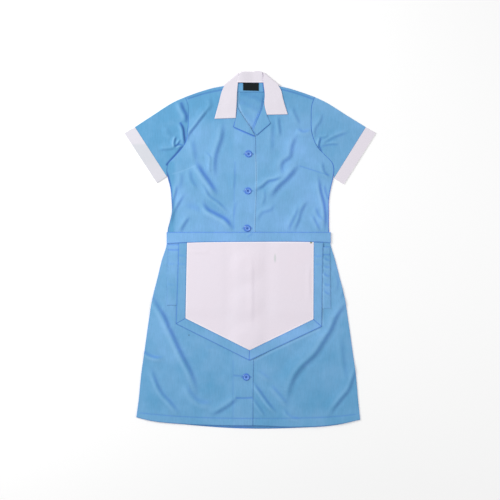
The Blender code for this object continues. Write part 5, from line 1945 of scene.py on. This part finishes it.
# %% [markdown]
# ## Buttons
#
# A four-hole dress button is turned on a lathe from a slab of resin: a round rim, a shallow dish and
# four drilled holes. So it is made the same way, by spinning half a section and cutting four cylinders
# out of it with a Boolean. One mesh serves all seven. Each sits where its node sits.

# %% Turn one button
BUTTON_SECTION = [
    (0.0, 0.0), (7.4, 0.0), (8.6, 0.4), (9.0, 1.1), (8.9, 1.7), (8.4, 2.2), (7.6, 2.4), (6.8, 2.3),
    (6.1, 1.9), (5.4, 1.5), (4.4, 1.35), (0.0, 1.3),
]
BUTTON_SIDES = 48
HOLE_OFF = 1.6
HOLE_RADIUS = 0.75
HOLE_SIDES = 16
BUTTON_SHARP_ANGLE = math.radians(35)


def spin(section, sides):
    """A turned solid from half a section of (radius, height) pairs in millimetres."""
    turned = bmesh.new()
    line = [turned.verts.new((r * MM, 0.0, z * MM)) for r, z in section]
    edges = [turned.edges.new(pair) for pair in zip(line, line[1:])]
    bmesh.ops.spin(
        turned, geom=line + edges, cent=(0, 0, 0), axis=(0, 0, 1), angle=2 * math.pi, steps=sides,
        use_merge=True,
    )
    bmesh.ops.remove_doubles(turned, verts=turned.verts, dist=1e-6)
    bmesh.ops.recalc_face_normals(turned, faces=turned.faces)
    return turned


def turn_button():
    blank = spin(BUTTON_SECTION, BUTTON_SIDES)
    mesh = bpy.data.meshes.new("button_turned")
    blank.to_mesh(mesh)
    blank.free()
    drills = bmesh.new()
    for x in (-HOLE_OFF, HOLE_OFF):
        for y in (-HOLE_OFF, HOLE_OFF):
            made = bmesh.ops.create_cone(
                drills, cap_ends=True, segments=HOLE_SIDES, radius1=HOLE_RADIUS * MM,
                radius2=HOLE_RADIUS * MM, depth=4 * BUTTON_THICK * MM,
            )
            bmesh.ops.translate(drills, verts=made["verts"], vec=(x * MM, y * MM, 0.0))
    cutter_mesh = bpy.data.meshes.new("button_drills")
    drills.to_mesh(cutter_mesh)
    drills.free()
    button = bpy.data.objects.new("button_blank", mesh)
    cutter = bpy.data.objects.new("button_drills", cutter_mesh)
    for made in (button, cutter):
        bpy.context.scene.collection.objects.link(made)
    cut = button.modifiers.new("drill", "BOOLEAN")
    cut.operation = "DIFFERENCE"
    cut.object = cutter
    drilled = bpy.data.meshes.new_from_object(button.evaluated_get(bpy.context.evaluated_depsgraph_get()))
    for made in (button, cutter):
        bpy.data.objects.remove(made)
    drilled.materials.clear()
    drilled.materials.append(button_resin)
    drilled.shade_smooth()
    drilled.set_sharp_from_angle(angle=BUTTON_SHARP_ANGLE)
    return drilled


button_mesh = turn_button()
for number, place in enumerate(BUTTONS, start=1):
    node = f"button_{number}"
    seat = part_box(node)[0][2]
    button = bpy.data.objects.new(node + "_turned", button_mesh)
    button.location = (place.x * MM, place.y * MM, seat)
    bpy.context.scene.collection.objects.link(button)
    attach(button, BODY)
    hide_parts(node)
print("button faces:", len(button_mesh.polygons))

# %% [markdown]
# ## Sewing
#
# A machine stitch is a short thread that dives into the cloth at both ends. On a real dress they are
# about 2.5 mm long and 0.3 mm thick. Here each is a little capsule of five sides that follows the
# cloth's face, and all the stitches of one thread and region are joined into one mesh. They are drawn
# slightly thicker, at 0.45 mm, so that a row still reads as a line from a step away.

# %% Stitch maker
STITCH_LONG = 2.3
STITCH_EVERY = 3.1
STITCH_RADIUS = 0.24
STITCH_SIDES = 5
STITCH_RINGS = ((-0.5, 0.35, -0.12), (-0.3, 1.0, 0.06), (0.3, 1.0, 0.06), (0.5, 0.35, -0.12))
Run = namedtuple("Run", "line face")


def face_of(under, details=no_details, thickness=CLOTH):
    """The height of a panel's face as a function of x and y."""
    return lambda x, y: under(x, y) + thickness + details(x, y)[0]


def stitch_ends(run):
    """The start and end of each stitch along a run, on the cloth's face."""
    line = np.array(run.line, float)
    count = int(length_of(line) // STITCH_EVERY)
    knots = distances(line)
    middles = (np.arange(count) + 0.5) * knots[-1] / count
    ends = []
    for offset in (-STITCH_LONG / 2, STITCH_LONG / 2):
        x, y = [np.interp(middles + offset, knots, line[:, k]) for k in (0, 1)]
        ends.append(np.stack([x, y, run.face(x, y)], axis=-1))
    return ends


def capsules(starts, stops, radius):
    """The points and faces of capsules between pairs of points."""
    run = stops - starts
    size = np.linalg.norm(run, axis=1)[:, None]
    along_it = run / size
    side = np.stack([-along_it[:, 1], along_it[:, 0], np.zeros(len(run))], axis=1)
    side /= np.linalg.norm(side, axis=1)[:, None]
    up = np.cross(along_it, side)
    rings = []
    for share, wide, lift in STITCH_RINGS:
        middle = (starts + stops) / 2 + run * share + up * lift
        for k in range(STITCH_SIDES):
            turn = 2 * math.pi * k / STITCH_SIDES
            rings.append(middle + radius * wide * (side * math.cos(turn) + up * math.sin(turn)))
    points = np.stack(rings, axis=1).reshape(-1, 3)
    number = np.arange(len(STITCH_RINGS) * STITCH_SIDES).reshape(len(STITCH_RINGS), STITCH_SIDES)
    one = quads(number, ring=True)
    faces = (one[None] + (np.arange(len(run)) * number.size)[:, None, None]).reshape(-1, 4).tolist()
    for cap in (number[0][::-1], number[-1]):
        faces += (cap[None] + (np.arange(len(run)) * number.size)[:, None]).tolist()
    return points, faces


def sew(name, pairs, thread, radius=STITCH_RADIUS):
    """Joins the stitches between all those pairs of points into one piece."""
    starts, stops = [np.concatenate([pair[k] for pair in pairs]) for k in (0, 1)]
    points, faces = capsules(starts, stops, radius)
    mesh = bpy.data.meshes.new(name)
    mesh.from_pydata((points * MM).tolist(), [], faces)
    mesh.materials.append(thread)
    mesh.shade_smooth()
    made = bpy.data.objects.new(name, mesh)
    bpy.context.scene.collection.objects.link(made)
    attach(made, BODY)
    print(f"{name}: {len(starts)} stitches")


# %% Blue seams
EDGE_STITCH = 1.6
FINE_STEPS = 60
bodice_face = face_of(bodice_under, bodice_details)
left_face = face_of(left_bodice_under, left_bodice_details)
right_skirt_face = face_of(skirt_under, skirt_details)
left_skirt_face = face_of(left_skirt_under, left_skirt_details)
band_face = face_of(band_under, band_details)
border_face = face_of(apron_under, border_details)
pocket_face = face_of(pocket_under, pocket_details)


def skirt_face(x, y):
    """The upper of the two skirt fronts."""
    on_left = x < edge_at(SKIRT_EDGE_LEFT, y)
    return np.where(on_left, left_skirt_face(x, y), right_skirt_face(x, y))


def inside_of(line, distance, steps=FINE_STEPS):
    """A line of stitches beside a broken line, to its left where distance is above 0."""
    return shifted(straight(line, steps), distance)


bodice_runs = [
    Run(shifted(along(SHOULDER_SEAM_LEFT, FINE_STEPS), EDGE_STITCH), left_face),
    Run(shifted(along(SHOULDER_SEAM_RIGHT, FINE_STEPS), EDGE_STITCH), bodice_face),
    Run(inside_of(LAPEL_LEFT.bottom, EDGE_STITCH), face_of(left_lapel_under)),
    Run(inside_of(LAPEL_RIGHT.right, -EDGE_STITCH), face_of(leaf_under)),
]
POCKET_STITCHES_LEFT = [(-227.4, 13), (-231.4, -153), (-212, -153)]
POCKET_STITCHES_RIGHT = [(221.9, 7), (224.2, -161), (208, -161)]
hem_run = along(HEM_LINE, 3 * FINE_STEPS)[2:-2]
skirt_runs = [
    Run(hem_run, skirt_face),
    Run(np.array(POCKET_HEM_LEFT), pocket_face),
    Run(np.array(POCKET_HEM_RIGHT), pocket_face),
    Run(straight(POCKET_STITCHES_LEFT, FINE_STEPS), pocket_face),
    Run(straight(POCKET_STITCHES_RIGHT, FINE_STEPS), pocket_face),
    Run(shifted(band_upper[2:-2], -EDGE_STITCH), band_face),
    Run(shifted(band_lower[2:-2], EDGE_STITCH), band_face),
    Run(inside_of(outside, EDGE_STITCH, 3 * FINE_STEPS)[3:-3], border_face),
    Run(inside_of(inside, -EDGE_STITCH - GAP, 3 * FINE_STEPS)[3:-3], border_face),
]
sew("stitching_bodice", [stitch_ends(run) for run in bodice_runs], thread_blue)
sew("stitching_skirt", [stitch_ends(run) for run in skirt_runs], thread_blue)

# %% White seams
COLLAR_STITCH = 4.5
APRON_STITCH = 6.0
COLLAR_SEWN = slice(3, 38)
collar_level = face_of(leaf_under, thickness=DOUBLE)
white_runs = [
    Run(inside_of([COLLAR_INNER_LEFT[0], COLLAR_OUTER_LEFT[0]], -COLLAR_STITCH)[3:-3], collar_level),
    Run(shifted(along(COLLAR_OUTER_LEFT, FINE_STEPS), -COLLAR_STITCH)[COLLAR_SEWN], collar_level),
    Run(inside_of([COLLAR_OUTER_RIGHT[0], COLLAR_INNER_RIGHT[0]], -COLLAR_STITCH)[3:-3], collar_level),
    Run(shifted(along(COLLAR_OUTER_RIGHT, FINE_STEPS), COLLAR_STITCH)[COLLAR_SEWN], collar_level),
]
apron_seam = inside_of(inside, APRON_STITCH, 3 * FINE_STEPS)[3:-3]
white_runs.append(Run(apron_seam, face_of(apron_under, apron_details)))
cuff_level = face_of(cuff_under)
for hem, cuff_hem, way in ((SLEEVE_HEM_LEFT, CUFF_HEM_LEFT, 1), (SLEEVE_HEM_RIGHT, CUFF_HEM_RIGHT, -1)):
    white_runs.append(Run(inside_of(hem, -way * (GAP + EDGE_STITCH))[2:-2], cuff_level))
sew("stitching_white", [stitch_ends(run) for run in white_runs], thread_white)

# %% Buttonholes
HOLE_LONG = 25.0
HOLE_WIDE = 1.5
BAR_STITCHES = 26
BAR_LONG = 1.7
END_BARS = 5
END_BARS_HALF = 1.6
END_BARS_GAP = 0.5
shown = [place for place in BUTTONS if place not in HIDDEN_BUTTONS]
pairs = []
for place in shown:
    level = left_face if place.y > WAIST_SEAM_Y else left_skirt_face
    for way in (-1, 1):
        x = place.x + np.linspace(-HOLE_LONG / 2, HOLE_LONG / 2, BAR_STITCHES)
        reach = (HOLE_WIDE / 2, HOLE_WIDE / 2 + BAR_LONG)
        near, far = [np.full_like(x, place.y + way * d) for d in reach]
        pairs.append([np.stack([x, y, level(x, y)], axis=-1) for y in (near, far)])
    for end in (-1, 1):
        y = place.y + np.linspace(-END_BARS_HALF, END_BARS_HALF, END_BARS)
        x = np.full_like(y, place.x + end * (HOLE_LONG / 2 + END_BARS_GAP))
        pairs.append([np.stack([x + end * d, y, level(x, y)], axis=-1) for d in (0.0, BAR_LONG)])
sew("stitching_buttonholes", pairs, thread_blue)

# %% Button thread
THREAD_RADIUS = 0.42
THREAD_LIFT = 0.2
crosses = []
for place in shown:
    number = BUTTONS.index(place) + 1
    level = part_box(f"button_{number}")[0][2] / MM + BUTTON_SECTION[-1][1] + THREAD_LIFT
    for way in (-1, 1):
        along_y = place.y + way * HOLE_OFF
        ends = [np.array([[place.x + side * HOLE_OFF, along_y, level]]) for side in (-1, 1)]
        crosses.append(ends)
sew("stitching_buttons", crosses, thread_blue, THREAD_RADIUS)
